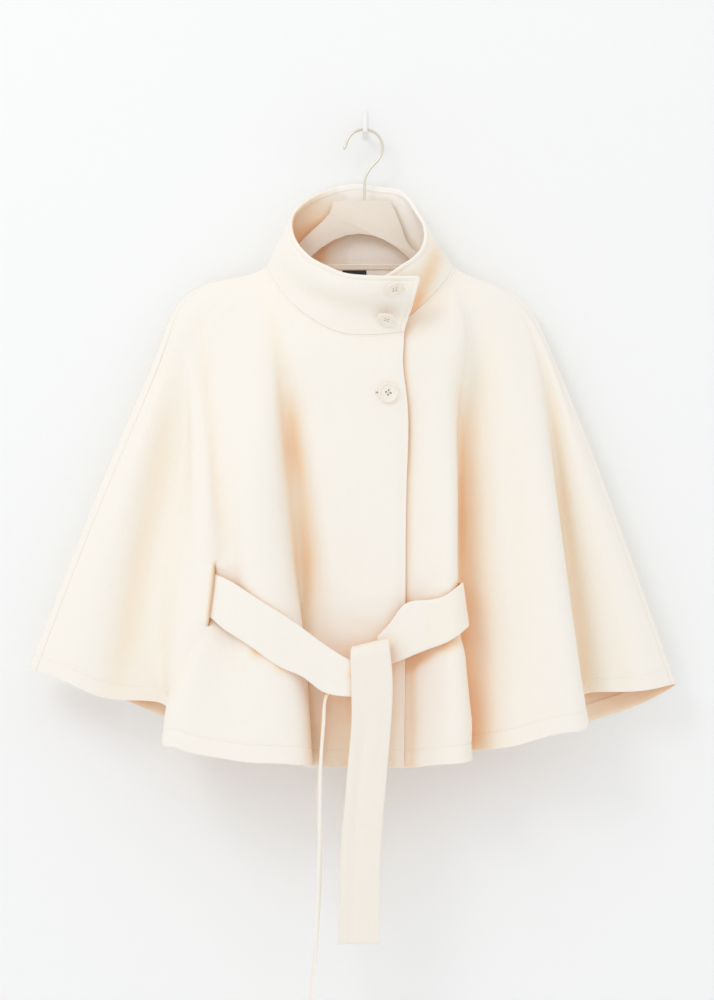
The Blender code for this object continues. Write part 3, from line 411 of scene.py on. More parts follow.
class Sheet:
    # a grid of middle points, each with a normal, half a thickness, and painted shade added to the fold shade
    # on its outer side and its inner side
    def __init__(self, points, normals, half):
        self.points, self.normals = points, normals
        self.half = np.full(points.shape[:2], half)
        self.tint, self.raised, self.insidePaintedShade = [np.zeros(points.shape[:2]) for _ in range(3)]

    def everything(self):
        rest = np.stack((self.half, self.tint, self.raised, self.insidePaintedShade), axis=2)
        return np.concatenate((self.points, self.normals, rest), axis=2)

    def take(self, grid):
        self.points, self.half, self.tint = grid[:, :, :3], grid[:, :, 6], grid[:, :, 7]
        self.raised, self.insidePaintedShade = grid[:, :, 8], grid[:, :, 9]
        self.normals = unit(grid[:, :, 3:6])

    def reach(self, axis, end):
        # distance of each point from one border, along the cloth
        steps = np.linalg.norm(np.diff(self.points, axis=axis), axis=2)
        zero = np.zeros_like(steps[:1] if axis == 0 else steps[:, :1])
        if end == 0:
            return np.concatenate((zero, np.cumsum(steps, axis=axis)), axis=axis)
        return np.flip(np.concatenate((zero, np.cumsum(np.flip(steps, axis), axis=axis)), axis=axis), axis)

    def respace(self, axis, end, distances):
        # near one border the lines are laid anew at these distances from it
        grid, reach = self.everything(), self.reach(axis, end)
        if axis == 1:
            grid, reach = grid.transpose(1, 0, 2), reach.T
        if end == 1:
            grid, reach = grid[::-1], reach[::-1]
        # where the cloth narrows, as at the neck, they stand closer
        keep = int(np.argmax(np.median(reach, axis=1) > distances[-1] + 2.0))
        closer = np.minimum(1.0, reach[keep] / (distances[-1] + 2.0))
        lines = np.empty((len(distances),) + grid.shape[1:])
        for k in range(grid.shape[1]):
            for c in range(grid.shape[2]):
                lines[:, k, c] = np.interp(distances * closer[k], reach[:, k], grid[:, k, c])
        grid = np.concatenate((lines, grid[keep:]))
        if end == 1:
            grid = grid[::-1]
        if axis == 1:
            grid = grid.transpose(1, 0, 2)
        self.take(grid)

    def roundEdge(self, axis, end, radius=None):
        # a free edge is round all over, a seam only by its small radius
        reach = self.reach(axis, end)
        inside = np.clip(1.0 - reach / np.maximum(self.half if radius is None else radius, 1e-6), 0.0, 1.0)
        self.half = self.half * np.sqrt(np.clip(1.0 - inside * inside, 0.0, 1.0))

    def cutCorner(self, end, radius):
        # the corner where this end meets the first row is rounded off along the cloth
        grid, down = self.everything(), self.reach(1, 0)
        if end == 1:
            grid, down = grid[::-1], down[::-1]
        steps = np.linalg.norm(np.diff(grid[:, :, :3], axis=0), axis=2)
        reach = np.concatenate((np.zeros_like(steps[:1]), np.cumsum(steps, axis=0)))
        done = grid.copy()
        for k in range(grid.shape[1]):
            fall = radius - min(down[0, k], radius)
            cut = radius - (radius * radius - fall * fall) ** 0.5
            places = reach[:, k] + cut * np.clip(1.0 - reach[:, k] / (4.0 * radius), 0.0, 1.0)
            for c in range(grid.shape[2]):
                done[:, k, c] = np.interp(places, reach[:, k], grid[:, k, c])
        self.take(done[::-1] if end == 1 else done)

    def lift(self, height):
        self.points, self.raised = self.points + self.normals * height[:, :, None], self.raised + height

    def skin(self, column=slice(None), row=slice(None)):
        # points on the outer side, and their normals
        out = self.normals[column, row]
        return self.points[column, row] + out * self.half[column, row][..., None], out


edgeSteps = (0.0, 0.1, 0.35, 0.8, 1.4)
seamRadius = 0.3


def seamGap(sheet, axis, end, gap=0.04):
    edge, beside = [slice(None)] * 2, [slice(None)] * 2
    edge[axis] = 0 if end == 0 else -1
    beside[axis] = 1 if end == 0 else -2
    sheet.points[tuple(edge)] += unit(sheet.points[tuple(beside)] - sheet.points[tuple(edge)]) * gap


def solidTree():
    corners, faces = [], []
    for nodeName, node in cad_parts.items():
        if nodeName.startswith("button"):
            continue  # they are small, and the render gives their shadows itself
        start = len(corners)
        corners += [vertex.co.copy() for vertex in node.data.vertices]
        faces += [[start + k for k in polygon.vertices] for polygon in node.data.polygons]
    return BVHTree.FromPolygons(corners, faces)


# painted shade in folds: rays from each point find how much cloth holds back the light, weighted towards the
# key light's side (lightFrom)
paintedShadeLook = {"rays": 28, "far": 0.22, "fade": 0.6, "start": 3.0, "every": 3, "even": 0.55,
             "lightFrom": (-0.62, -0.58, 0.53), "leastShown": 0.06}
allSolids = solidTree()
rayShares = (np.arange(paintedShadeLook["rays"]) + 0.5) / paintedShadeLook["rays"]
rayTurns = np.arange(paintedShadeLook["rays"]) * pi * (3.0 - 5.0 ** 0.5)
rays = np.stack((np.sqrt(rayShares) * np.cos(rayTurns), np.sqrt(rayShares) * np.sin(rayTurns),
                 np.sqrt(1.0 - rayShares)), axis=1)


def closedIn(point, normal):
    # the share of the light from all round that other cloth holds back
    helper = np.array((0.0, 0.0, 1.0)) if abs(normal[2]) < 0.8 else np.array((1.0, 0.0, 0.0))
    aside = np.cross(helper, normal)
    aside /= np.linalg.norm(aside)
    turned = rays @ np.array((aside, np.cross(normal, aside), normal))
    start = Vector(point * mm)
    weights = paintedShadeLook["even"] + np.clip(turned @ np.array(paintedShadeLook["lightFrom"]), 0.0, 1.0)
    held = 0.0
    for ray, weight in zip(turned, weights):
        distance = allSolids.ray_cast(start, Vector(ray), paintedShadeLook["far"])[3]
        if distance is not None:
            held += weight * (1.0 - distance / paintedShadeLook["far"] * paintedShadeLook["fade"])
    return held / weights.sum()


# the painted shade of one side of a sheet, found at every third point and spread between them
def paintedShadeOfSheet(sheet, side):
    every = paintedShadeLook["every"]
    columns, rows = sheet.points.shape[:2]
    us = np.unique(np.append(np.arange(0, columns, every), columns - 1))
    vs = np.unique(np.append(np.arange(0, rows, every), rows - 1))
    found = np.empty((len(us), len(vs)))
    for i, u in enumerate(us):
        for j, v in enumerate(vs):
            normal = sheet.normals[u, v] * side
            plain = sheet.points[u, v] - sheet.normals[u, v] * sheet.raised[u, v]
            found[i, j] = closedIn(plain + normal * (sheet.half[u, v] + paintedShadeLook["start"]), normal)
    across = np.array([np.interp(np.arange(columns), us, found[:, j]) for j in range(len(vs))])
    return np.array([np.interp(np.arange(rows), vs, across[:, i]) for i in range(columns)])


def sheetMesh(name, sheet, paint, slit=None, inner=None):
    # slit: (column, first row, last row, lifts); the line is doubled there into two lips
    columns, rows = sheet.points.shape[:2]
    innerHalf = sheet.half if inner is None else sheet.half * inner
    # painted shade for the outer and inner sides; below leastShown the ramp is for the inner side
    outerShade = np.clip(paintedShadeOfSheet(sheet, 1.0) + sheet.tint, paintedShadeLook["leastShown"], 1.0)
    innerShade = np.clip(paintedShadeOfSheet(sheet, -1.0) + sheet.insidePaintedShade, 0.0, 1.0)
    # the slit's lips are painted in full shade
    if slit:
        innerShade[slit[0], slit[1]:slit[2]] = outerShade[slit[0], slit[1]:slit[2]] = 1.0
    index = np.arange(columns * rows).reshape(columns, rows)
    after, source = index.copy(), np.arange(columns * rows)
    lift = np.zeros((columns * rows, 1))
    if slit:
        column, first, last, lips = slit
        old = index[column, first + 1:last]
        after[column, first + 1:last] = np.arange(len(old)) + len(source)
        lift[old, 0] = -lips[first + 1:last]
        lift = np.concatenate((lift, -lift[old]))
        source = np.concatenate((source, old))
    out = sheet.normals.reshape(-1, 3)[source]
    middle = sheet.points.reshape(-1, 3)[source] + out * lift
    outer = middle + out * sheet.half.reshape(-1, 1)[source]
    under = middle - out * innerHalf.reshape(-1, 1)[source]
    count = len(source)
    left = after if slit is None else np.where(np.arange(columns)[:, None] == slit[0], after, index)
    quads = np.stack((left[:-1, :-1], index[1:, :-1], index[1:, 1:], left[:-1, 1:]), axis=2).reshape(-1, 4)
    sides = np.concatenate([quads[:, [k, (k + 1) % 4]] for k in range(4)])
    known = set(map(tuple, sides))
    border = np.array(sorted((p, q) for p, q in known if (q, p) not in known))
    rim = np.stack((border[:, 0], border[:, 1], border[:, 1] + count, border[:, 0] + count), axis=1)
    data = bpy.data.meshes.new(name)
    data.from_pydata((np.concatenate((outer, under)) * mm).tolist(), [],
                     np.concatenate((quads[:, ::-1], quads + count, rim)).tolist())
    # the painted shade goes to the materials as the depth attribute
    depth = data.attributes.new("depth", "FLOAT", "POINT")
    depth.data.foreach_set("value", np.concatenate((outerShade.ravel()[source], innerShade.ravel()[source])))
    flat = np.stack((sheet.reach(0, 0), sheet.reach(1, 0)), axis=2).reshape(-1, 2)[source] * mm
    corners = np.empty(len(data.loops), int)
    data.loops.foreach_get("vertex_index", corners)
    data.uv_layers.new(name="cloth").uv.foreach_set("vector", np.concatenate((flat, flat))[corners].ravel())
    mesh = bmesh.new()
    mesh.from_mesh(data)
    bmesh.ops.remove_doubles(mesh, verts=mesh.verts, dist=0.004 * mm)
    bmesh.ops.dissolve_degenerate(mesh, edges=mesh.edges, dist=0.001 * mm)
    bmesh.ops.recalc_face_normals(mesh, faces=mesh.faces)
    if mesh.calc_volume(signed=True) < 0.0:
        bmesh.ops.reverse_faces(mesh, faces=mesh.faces)
    mesh.to_mesh(data)
    mesh.free()
    data.materials.append(paint)
    data.shade_smooth()
    piece = addObject(name, data)
    return piece


def sewThreads(name, runs, paint, thick=0.34, rise=0.45):
    # runs: (starts, ends, normals); each stitch is a short thread that dips into the cloth at both ends
    starts, ends, normals = (np.concatenate([run[k] for run in runs]) for k in range(3))
    along = ends - starts
    aside = unit(np.cross(normals, along))
    around = [(cos(k * pi / 3.0), sin(k * pi / 3.0)) for k in range(6)]
    dots = np.array([[starts + along * share + normals * rise * height
                      + (aside * c + normals * s) * thick * width for c, s in around]
                     for share, height, width in ((0.0, -1.1, 0.5), (0.15, 0.1, 0.9), (0.5, 0.45, 1.0),
                                                  (0.85, 0.1, 0.9), (1.0, -1.1, 0.5))])
    dots = dots.transpose(2, 0, 1, 3).reshape(-1, 3) * mm
    pattern = [[r * 6 + k, r * 6 + (k + 1) % 6, r * 6 + 6 + (k + 1) % 6, r * 6 + 6 + k]
               for r in range(4) for k in range(6)]
    caps = [[5, 4, 3, 2, 1, 0], [24, 25, 26, 27, 28, 29]]
    faces = [[corner + 30 * n for corner in face] for n in range(len(starts)) for face in pattern + caps]
    data = bpy.data.meshes.new(name)
    data.from_pydata(dots.tolist(), [], faces)
    mesh = bmesh.new()
    mesh.from_mesh(data)
    bmesh.ops.recalc_face_normals(mesh, faces=mesh.faces)
    mesh.to_mesh(data)
    mesh.free()
    data.materials.append(paint)
    data.shade_smooth()
    piece = addObject(name, data)
    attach(piece, "root")
    return piece


def stitchRun(points, normals, pitch=3.6, length=2.7, skip=2.0):
    reach = runLengths(points)
    middles = np.arange(skip + pitch / 2.0, reach[-1] - skip - pitch / 2.0, pitch)
    found = [[np.interp(places, reach, grid[:, c]) for c in range(3)]
             for places, grid in ((middles - length / 2.0, points), (middles + length / 2.0, points),
                                  (middles, normals))]
    starts, ends, out = (np.array(rows).T for rows in found)
    return starts, ends, unit(out)


bodyCloth = {
    "wall": 2.5, "columnEvery": 4.5, "hemStitch": 21.5, "hemGroove": 0.45, "grooveWidth": 1.3,
    "seamDip": 0.2, "seamDipWidth": 2.4, "neckStitch": 3.6, "hemFoldThicker": 0.8, "lapRoll": 3.2,
    "lapRollWidth": 15.0, "lapRollAtHem": 0.4,
}
collarCloth = {"wall": 4.5, "stitch": 6.0, "groove": 0.8, "rimPlump": 0.35, "cornerRadius": 5.0}
slits = {"frontLeft": ("slitB", 0.635, 0.765, 1), "frontRight": ("slitW", 0.62, 0.75, -1)}
lipPart, lipEase, slitShade = 4.3, 0.018, 1.0
bodyRows = np.concatenate((np.linspace(0.0, 0.09, 12)[:-1], np.linspace(0.09, 0.62, 52)[:-1],
                           np.linspace(0.62, 0.765, 30)[:-1], np.linspace(0.765, 1.0, 24)))
hemSteps = np.array(edgeSteps + (3.5, 6.0, 9.0, 12.0, 15.0, 18.0, 19.7, 20.8, 21.5, 22.2, 23.3, 25.0, 28.0,
                                 32.0, 36.0))
seamSteps = np.array(edgeSteps + (3.0, 4.5, 7.0))
frontSteps = np.array(edgeSteps + (3.0, 4.2, 5.2, 6.0, 6.8, 7.8, 9.5, 12.0))
neckSteps = np.array(edgeSteps + (2.7, 3.6, 4.5, 6.5))
rimSteps = np.array(edgeSteps + (2.6, 3.5, 4.4, 5.2, 6.0, 6.8, 7.6, 9.0, 11.0))


def groove(reach, at, depth, width):
    return -depth * np.exp(-((reach - at) / width) ** 2)


# a crease: the places x, z that it runs through as seen from the front; height above or below
# the cloth, width, and how much painted shade its bottom gets (below zero, painted light)
Crease = namedtuple("Crease", "height width warm places")
# several creases are mostly painted shade, with troughs under 1 mm deep
creases = {
    "frontRight": [
        Crease(-4.0, 9.0, 0.14, ((-193, -622), (-206, -648), (-226, -684), (-256, -742))),
        Crease(-6.5, 10.0, 0.34, ((-210, -215), (-202, -287), (-187, -415), (-176, -501), (-163, -600))),
        Crease(2.0, 5.0, -0.08, ((-224, -225), (-213, -330), (-207, -480), (-200, -610))),
        Crease(-3.8, 20.0, 0.32, ((-236, -230), (-241, -330), (-260, -450), (-288, -600), (-326, -820))),
        Crease(-4.6, 12.0, 0.34, ((-132, -205), (-112, -270), (-100, -330), (-92, -400), (-84, -490))),
        Crease(-2.0, 10.0, 0.02, ((-94, -400), (-87, -480), (-78, -560), (-68, -660))),
        Crease(3.4, 14.0, -0.34, ((-70, -350), (-56, -440), (-44, -530), (-32, -640))),
        Crease(8.0, 30.0, -0.62, ((-60, -540), (-60, -700), (-60, -960))),
        Crease(-1.3, 7.0, 0.06, ((-186, -563), (-152, -505))),
        Crease(0.8, 6.0, 0.0, ((-150, -560), (-128, -545))),
        Crease(-0.7, 6.0, 0.03, ((0, -330), (44, -322))),
        Crease(-0.8, 7.0, 0.04, ((-70, -290), (-30, -304))),
        Crease(0.7, 9.0, 0.0, ((-20, -600), (40, -586))),
        Crease(-0.9, 9.0, 0.05, ((-40, -620), (30, -640))),
    ],
    "frontLeft": [
        Crease(-0.3, 3.5, 0.30, ((49, -270), (53, -370), (55, -440), (54, -640))),
        Crease(-1.2, 6.5, 0.34, ((50, -560), (56, -660), (58, -740), (56, -900))),
        Crease(-0.9, 8.0, 0.50, ((28, -688), (49, -678), (79, -666), (109, -650), (132, -636))),
        Crease(1.2, 20.0, -0.24, ((86, -640), (84, -720), (84, -880))),
        Crease(5.0, 18.0, 0.0, ((118, -625), (121, -670), (124, -720), (127, -790))),
        Crease(-2.6, 9.0, 0.10, ((232, -360), (243, -470), (257, -600), (268, -680), (276, -800))),
        Crease(3.2, 16.0, -0.42, ((252, -340), (266, -480), (285, -600), (300, -700), (314, -840))),
        Crease(-0.6, 9.0, 0.26, ((108, -260), (114, -360), (117, -450), (117, -570))),
        Crease(-0.4, 8.0, 0.22, ((118, -630), (122, -720), (124, -860))),
        Crease(-0.8, 7.0, 0.04, ((118, -560), (128, -470))),
        Crease(-0.8, 8.0, 0.04, ((60, -600), (92, -560))),
        Crease(-1.0, 7.0, 0.04, ((150, -300), (168, -380))),
    ],
    "back": [
        Crease(-2.6, 9.0, 0.10, ((-200, -600), (-212, -650), (-236, -722))),
        Crease(-1.6, 9.0, 0.08, ((110, -590), (128, -700))),
        Crease(-0.8, 8.0, 0.04, ((-70, -330), (-20, -322))),
        Crease(-1.0, 9.0, 0.04, ((30, -560), (60, -470))),
        Crease(-1.0, 9.0, 0.04, ((-150, -560), (-120, -470))),
    ],
    "collar": [Crease(-2.8, 10.0, 0.13, ((-92, -216), (-40, -234), (10, -243), (70, -250)))],
    # mostly painted shade on the collar's underlap, over a shallow trough
    "collarUnder": [Crease(-0.6, 16.0, 0.62, ((104, -130), (80, -190), (66, -222), (56, -252), (42, -300)))],
}


def creaseCloth(sheet, rows, where=1.0):
    height = np.zeros(sheet.points.shape[:2])
    for row in rows:
        places = np.array(row.places, float)
        for _ in range(2):  # rounds the corners of the run
            inner = [places[:-1] * 0.75 + places[1:] * 0.25, places[:-1] * 0.25 + places[1:] * 0.75]
            places = np.concatenate((places[:1], np.stack(inner, axis=1).reshape(-1, 2), places[-1:]))
        before, lengths = runLengths(places), np.linalg.norm(np.diff(places, axis=0), axis=1)
        nearest, share = np.full(height.shape, 1e9), np.zeros(height.shape)
        for start, end, length, done in zip(places[:-1], places[1:], lengths, before):
            away = sheet.points[:, :, (0, 2)] - start
            along = np.clip(away @ (end - start) / length ** 2, 0.0, 1.0)
            distance = np.linalg.norm(away - along[:, :, None] * (end - start), axis=2)
            closer = distance < nearest
            nearest[closer] = distance[closer]
            share[closer] = ((done + along * length) / before[-1])[closer]
        shape = np.exp(-(nearest / row.width) ** 2) * ease(0.0, 0.3, share)
        shape = shape * (1.0 - ease(0.7, 1.0, share)) * where
        height += row.height * shape
        # painted shade along the crease's bottom, or painted light where warm is below zero
        sheet.tint += row.warm * shape
    sheet.lift(height)


def makePanel(name, first, last, frontEnd):
    down, across = bodyRows, capeColumns(first, last, bodyCloth["columnEvery"])
    if name in slits:
        foldName, top, end, side = slits[name]
        start = [fold.name for fold in allFolds[:last]].index(foldName, first)
        place = foldPlace[start]
        down = np.unique(np.concatenate((bodyRows, (top, end))))
        across = np.unique(np.concatenate((across, (place - slitShade, place + slitShade))))
    sheet = Sheet(capeAt(across, down), capeNormals(across, down), bodyCloth["wall"] / 2.0)
    slit = None
    if name in slits:
        # the two lips stand apart by the same amount as in the solids, and end in a soft curve
        column = int(np.argmin(abs(across - place)))
        part = ease(0.0, lipEase, down - top) * ease(0.0, lipEase, end - down)
        for k in range(len(across)):
            span = foldPlace[start + 1] - place if across[k] > place else place - foldPlace[start - 1]
            share = 1.0 - abs(across[k] - place) / span
            if k != column and share > 0.0:
                sign = side if across[k] > place else -side
                sheet.points[k] += sheet.normals[k] * (part * share * sign * lipPart)[:, None]
        rows = (int(np.argmin(abs(down - top))), int(np.argmin(abs(down - end))))
        slit = [column, rows[0], rows[1], part * lipPart * side]
    columnsBefore = sheet.points.shape[0]
    for end in (0, 1):
        isFront = end == frontEnd
        if not isFront:
            seamGap(sheet, 0, end)
        sheet.respace(0, end, frontSteps if isFront else seamSteps)
        if end == 0 and slit:
            slit[0] += sheet.points.shape[0] - columnsBefore
    seamGap(sheet, 1, 0)
    rowsBefore = sheet.points.shape[1]
    sheet.respace(1, 0, neckSteps)
    shift = sheet.points.shape[1] - rowsBefore
    sheet.respace(1, 1, hemSteps)
    if slit:
        lips = np.zeros(sheet.points.shape[1])
        lips[slit[1] + shift:slit[2] + shift + 1] = slit[3][slit[1]:slit[2] + 1]
        slit = (slit[0], slit[1] + shift, slit[2] + shift, lips)
    hem, neck = sheet.reach(1, 1), sheet.reach(1, 0)
    height = groove(hem, bodyCloth["hemStitch"], bodyCloth["hemGroove"], bodyCloth["grooveWidth"])
    height += groove(neck, 0.0, bodyCloth["seamDip"], bodyCloth["seamDipWidth"])
    # painted shade along the neck seam and the hem's stitch line
    sheet.tint += groove(neck, 0.0, -0.05, 1.0) + groove(hem, bodyCloth["hemStitch"], -0.03, 1.0)
    for end in (0, 1):
        if end != frontEnd:
            height += groove(sheet.reach(0, end), 0.0, bodyCloth["seamDip"], bodyCloth["seamDipWidth"])
            # painted shade along the side seams
            sheet.tint += groove(sheet.reach(0, end), 0.0, -0.12, 1.0)
    creaseCloth(sheet, creases[name])
    if name == "frontRight":  # its edge rolls softly down to the cloth that it laps over
        roll = (1.0 - ease(0.0, bodyCloth["lapRollWidth"], sheet.reach(0, 1))) * ease(15.0, 60.0, neck)
        atHem = bodyCloth["lapRollAtHem"]
        height -= bodyCloth["lapRoll"] * roll * (atHem + (1.0 - atHem) * ease(0.0, 60.0, hem))
    if name == "back":
        # the inner side: more painted shade near the hem, painted lighter near the neck
        sheet.insidePaintedShade += 0.35 * (1.0 - ease(10.0, 60.0, hem)) - 0.6 * (1.0 - ease(20.0, 90.0, neck))
    sheet.lift(height)
    # the hem's turned-up cloth makes it thicker inside
    inner = 1.0 + bodyCloth["hemFoldThicker"] * (1.0 - ease(20.0, 23.0, hem)) * ease(1.0, 4.0, hem)
    for axis, end in borders:
        free = (axis, end) == (1, 1) or (axis == 0 and end == frontEnd)
        sheet.roundEdge(axis, end, None if free else seamRadius)
    return sheet, slit, inner


panels = {
    "frontLeft": ("front_left", 0, rightSeam, 0), "back": ("back", rightSeam, leftSeam, None),
    "frontRight": ("front_right", leftSeam, lastFold, 1),
}
stitchRuns = {name + "Stitches": [] for name in (*panels, "collar", "trim")}
for name, (node, first, last, frontEnd) in panels.items():
    sheet, slit, inner = makePanel(name, first, last, frontEnd)
    piece = sheetMesh(name + "Panel", sheet, clothPaint, slit, inner)
    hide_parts(node)
    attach(piece, "root")
    hemRowIndex = sheet.points.shape[1] - 1 - list(hemSteps).index(bodyCloth["hemStitch"])
    stitchRuns[name + "Stitches"].append(stitchRun(*sheet.skin(row=hemRowIndex)))
    neckRowIndex = list(neckSteps).index(bodyCloth["neckStitch"])
    stitchRuns[name + "Stitches"].append(stitchRun(*sheet.skin(row=neckRowIndex), pitch=3.0, length=2.2))
    print("panel", name, len(piece.data.polygons), "faces")


def makeCollar():
    across = capeColumns(0, lastFold, 4.0)
    down = np.linspace(rimRow, 0.0, 34)
    sheet = Sheet(capeAt(across, down), capeNormals(across, down), collarCloth["wall"] / 2.0)
    seamGap(sheet, 1, 1)
    for end in (0, 1):
        sheet.respace(0, end, frontSteps)
    sheet.respace(1, 0, rimSteps)
    sheet.respace(1, 1, neckSteps)
    for end in (0, 1):
        sheet.cutCorner(end, collarCloth["cornerRadius"])
    stitch, rim = collarCloth["stitch"], sheet.reach(1, 0)
    ends = np.minimum(sheet.reach(0, 0), sheet.reach(0, 1))
    edge = np.minimum(rim, ends)
    creaseCloth(sheet, creases["collar"], ease(0.2, 0.6, -sheet.normals[:, :, 1]))
    creaseCloth(sheet, creases["collarUnder"], sheet.reach(0, 0) < sheet.reach(0, 1))
    fromLeft = sheet.points[:, :, 0]
    # painted shade on the inner side: darker on the left inner wall, painted lighter on the right
    sheet.insidePaintedShade += 0.40 * (1.0 - ease(-62.0, -38.0, fromLeft)) - 0.45 * ease(-45.0, -10.0, fromLeft)
    sheet.lift(groove(edge, stitch, collarCloth["groove"], 1.3))
    # painted shade along the stitch groove and the neck seam
    sheet.tint += groove(edge, stitch, -0.04, 1.2) + groove(sheet.reach(1, 1), 0.0, -0.05, 1.0)
    sheet.half = sheet.half + collarCloth["rimPlump"] * (1.0 - ease(2.0, stitch, edge))
    # thinner at the seam, so that it meets the body's cloth flush
    thinner = (collarCloth["wall"] - bodyCloth["wall"]) / 2.0
    sheet.half = sheet.half - thinner * (1.0 - ease(0.0, 9.0, sheet.reach(1, 1)))
    rimRowIndex, endColumn = list(rimSteps).index(stitch), list(frontSteps).index(stitch)
    count = sheet.points.shape[0]
    inside = slice(endColumn, count - endColumn)
    for column, row in ((inside, rimRowIndex), (endColumn, slice(rimRowIndex, None)),
                        (count - 1 - endColumn, slice(rimRowIndex, None))):
        run = stitchRun(*sheet.skin(column, row), pitch=3.2, length=2.4, skip=0.5)
        stitchRuns["collarStitches"].append(run)
    for axis, end in borders:
        sheet.roundEdge(axis, end, seamRadius if (axis, end) == (1, 1) else None)
    return sheetMesh("collarStand", sheet, clothPaint)


collar = makeCollar()
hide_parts("collar")
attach(collar, "root")
print("collar", len(collar.data.polygons), "faces")

# trims on the inner side of the back: the tape that covers the neck seam, and a plain woven label
trimCloth = {"tapeWall": 1.0, "labelWall": 0.8, "gap": 0.3,
             "labelFrom": (1.8, -195.0), "labelTo": (-29.0, -195.0), "labelDown": (0.0088, 0.0310),
             "tapeDown": (0.0012, 0.0082)}
labelLook = {"colour": (0.012, 0.012, 0.013, 1), "lighter": (0.035, 0.035, 0.037, 1), "weaveScale": 420.0,
             "weaveHeight": 0.0001}


def paintLabel(name, look):
    paint = Paint(name)
    flat = paint.node("ShaderNodeUVMap", {"uv_map": "cloth"}, {})
    scale = look["weaveScale"]
    warp = paint.node("ShaderNodeTexWave", {"bands_direction": "X"}, {"Vector": flat, "Scale": scale})
    weft = paint.node("ShaderNodeTexWave", {"bands_direction": "Y"}, {"Vector": flat, "Scale": scale})
    weave = warp * weft
    fluff = paint.noise(900.0, 3.0)
    colour = paint.blend(weave * 0.5 + fluff * 0.3, look["colour"], look["lighter"])
    return paint.surface({"Base Color": colour, "Roughness": fluff * 0.15 + 0.6,
                          "Normal": paint.bump(weave, look["weaveHeight"], 0.6), "Sheen Weight": 0.2})


def layInside(across, down, wall):
    normals = capeNormals(across, down)
    middle = capeAt(across, down) - normals * (bodyCloth["wall"] / 2.0 + trimCloth["gap"] + wall / 2.0)
    sheet = Sheet(middle, -normals, wall / 2.0)
    for axis, end in borders:
        sheet.respace(axis, end, np.array((0.0, 0.1, 0.4, 0.8, 1.3)))
    return sheet


def finishTrim(name, sheet, paint, node):
    for axis, end in borders:
        sheet.roundEdge(axis, end)
    piece = sheetMesh(name, sheet, paint)
    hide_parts(node)
    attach(piece, "root")


backRange = (foldPlace[rightSeam + 4], foldPlace[leftSeam - 4])
tape = layInside(capeColumns(rightSeam + 4, leftSeam - 4, 3.5), np.linspace(*trimCloth["tapeDown"], 8),
                 trimCloth["tapeWall"])
for row in (4, -5):
    stitchRuns["trimStitches"].append(stitchRun(*tape.skin(row=row), pitch=2.8, length=2.0))
finishTrim("neckTape", tape, clothPaint, "neck_tape")
labelEnds = [capeFind(*trimCloth[corner], backRange, (0.0, 0.09))[0] for corner in ("labelFrom", "labelTo")]
labelDown = np.linspace(*trimCloth["labelDown"], 10)
label = layInside(np.linspace(*labelEnds, 16), labelDown, trimCloth["labelWall"])
labelPaint = paintLabel("plain black label", labelLook)
labelRuns = [stitchRun(*label.skin(column=column), pitch=2.0, length=1.5, skip=0.8) for column in (4, -5)]
finishTrim("labelPatch", label, labelPaint, "label")
sewThreads("labelStitches", labelRuns, labelPaint, 0.22, 0.3)
print("tape and label laid inside the back neck")

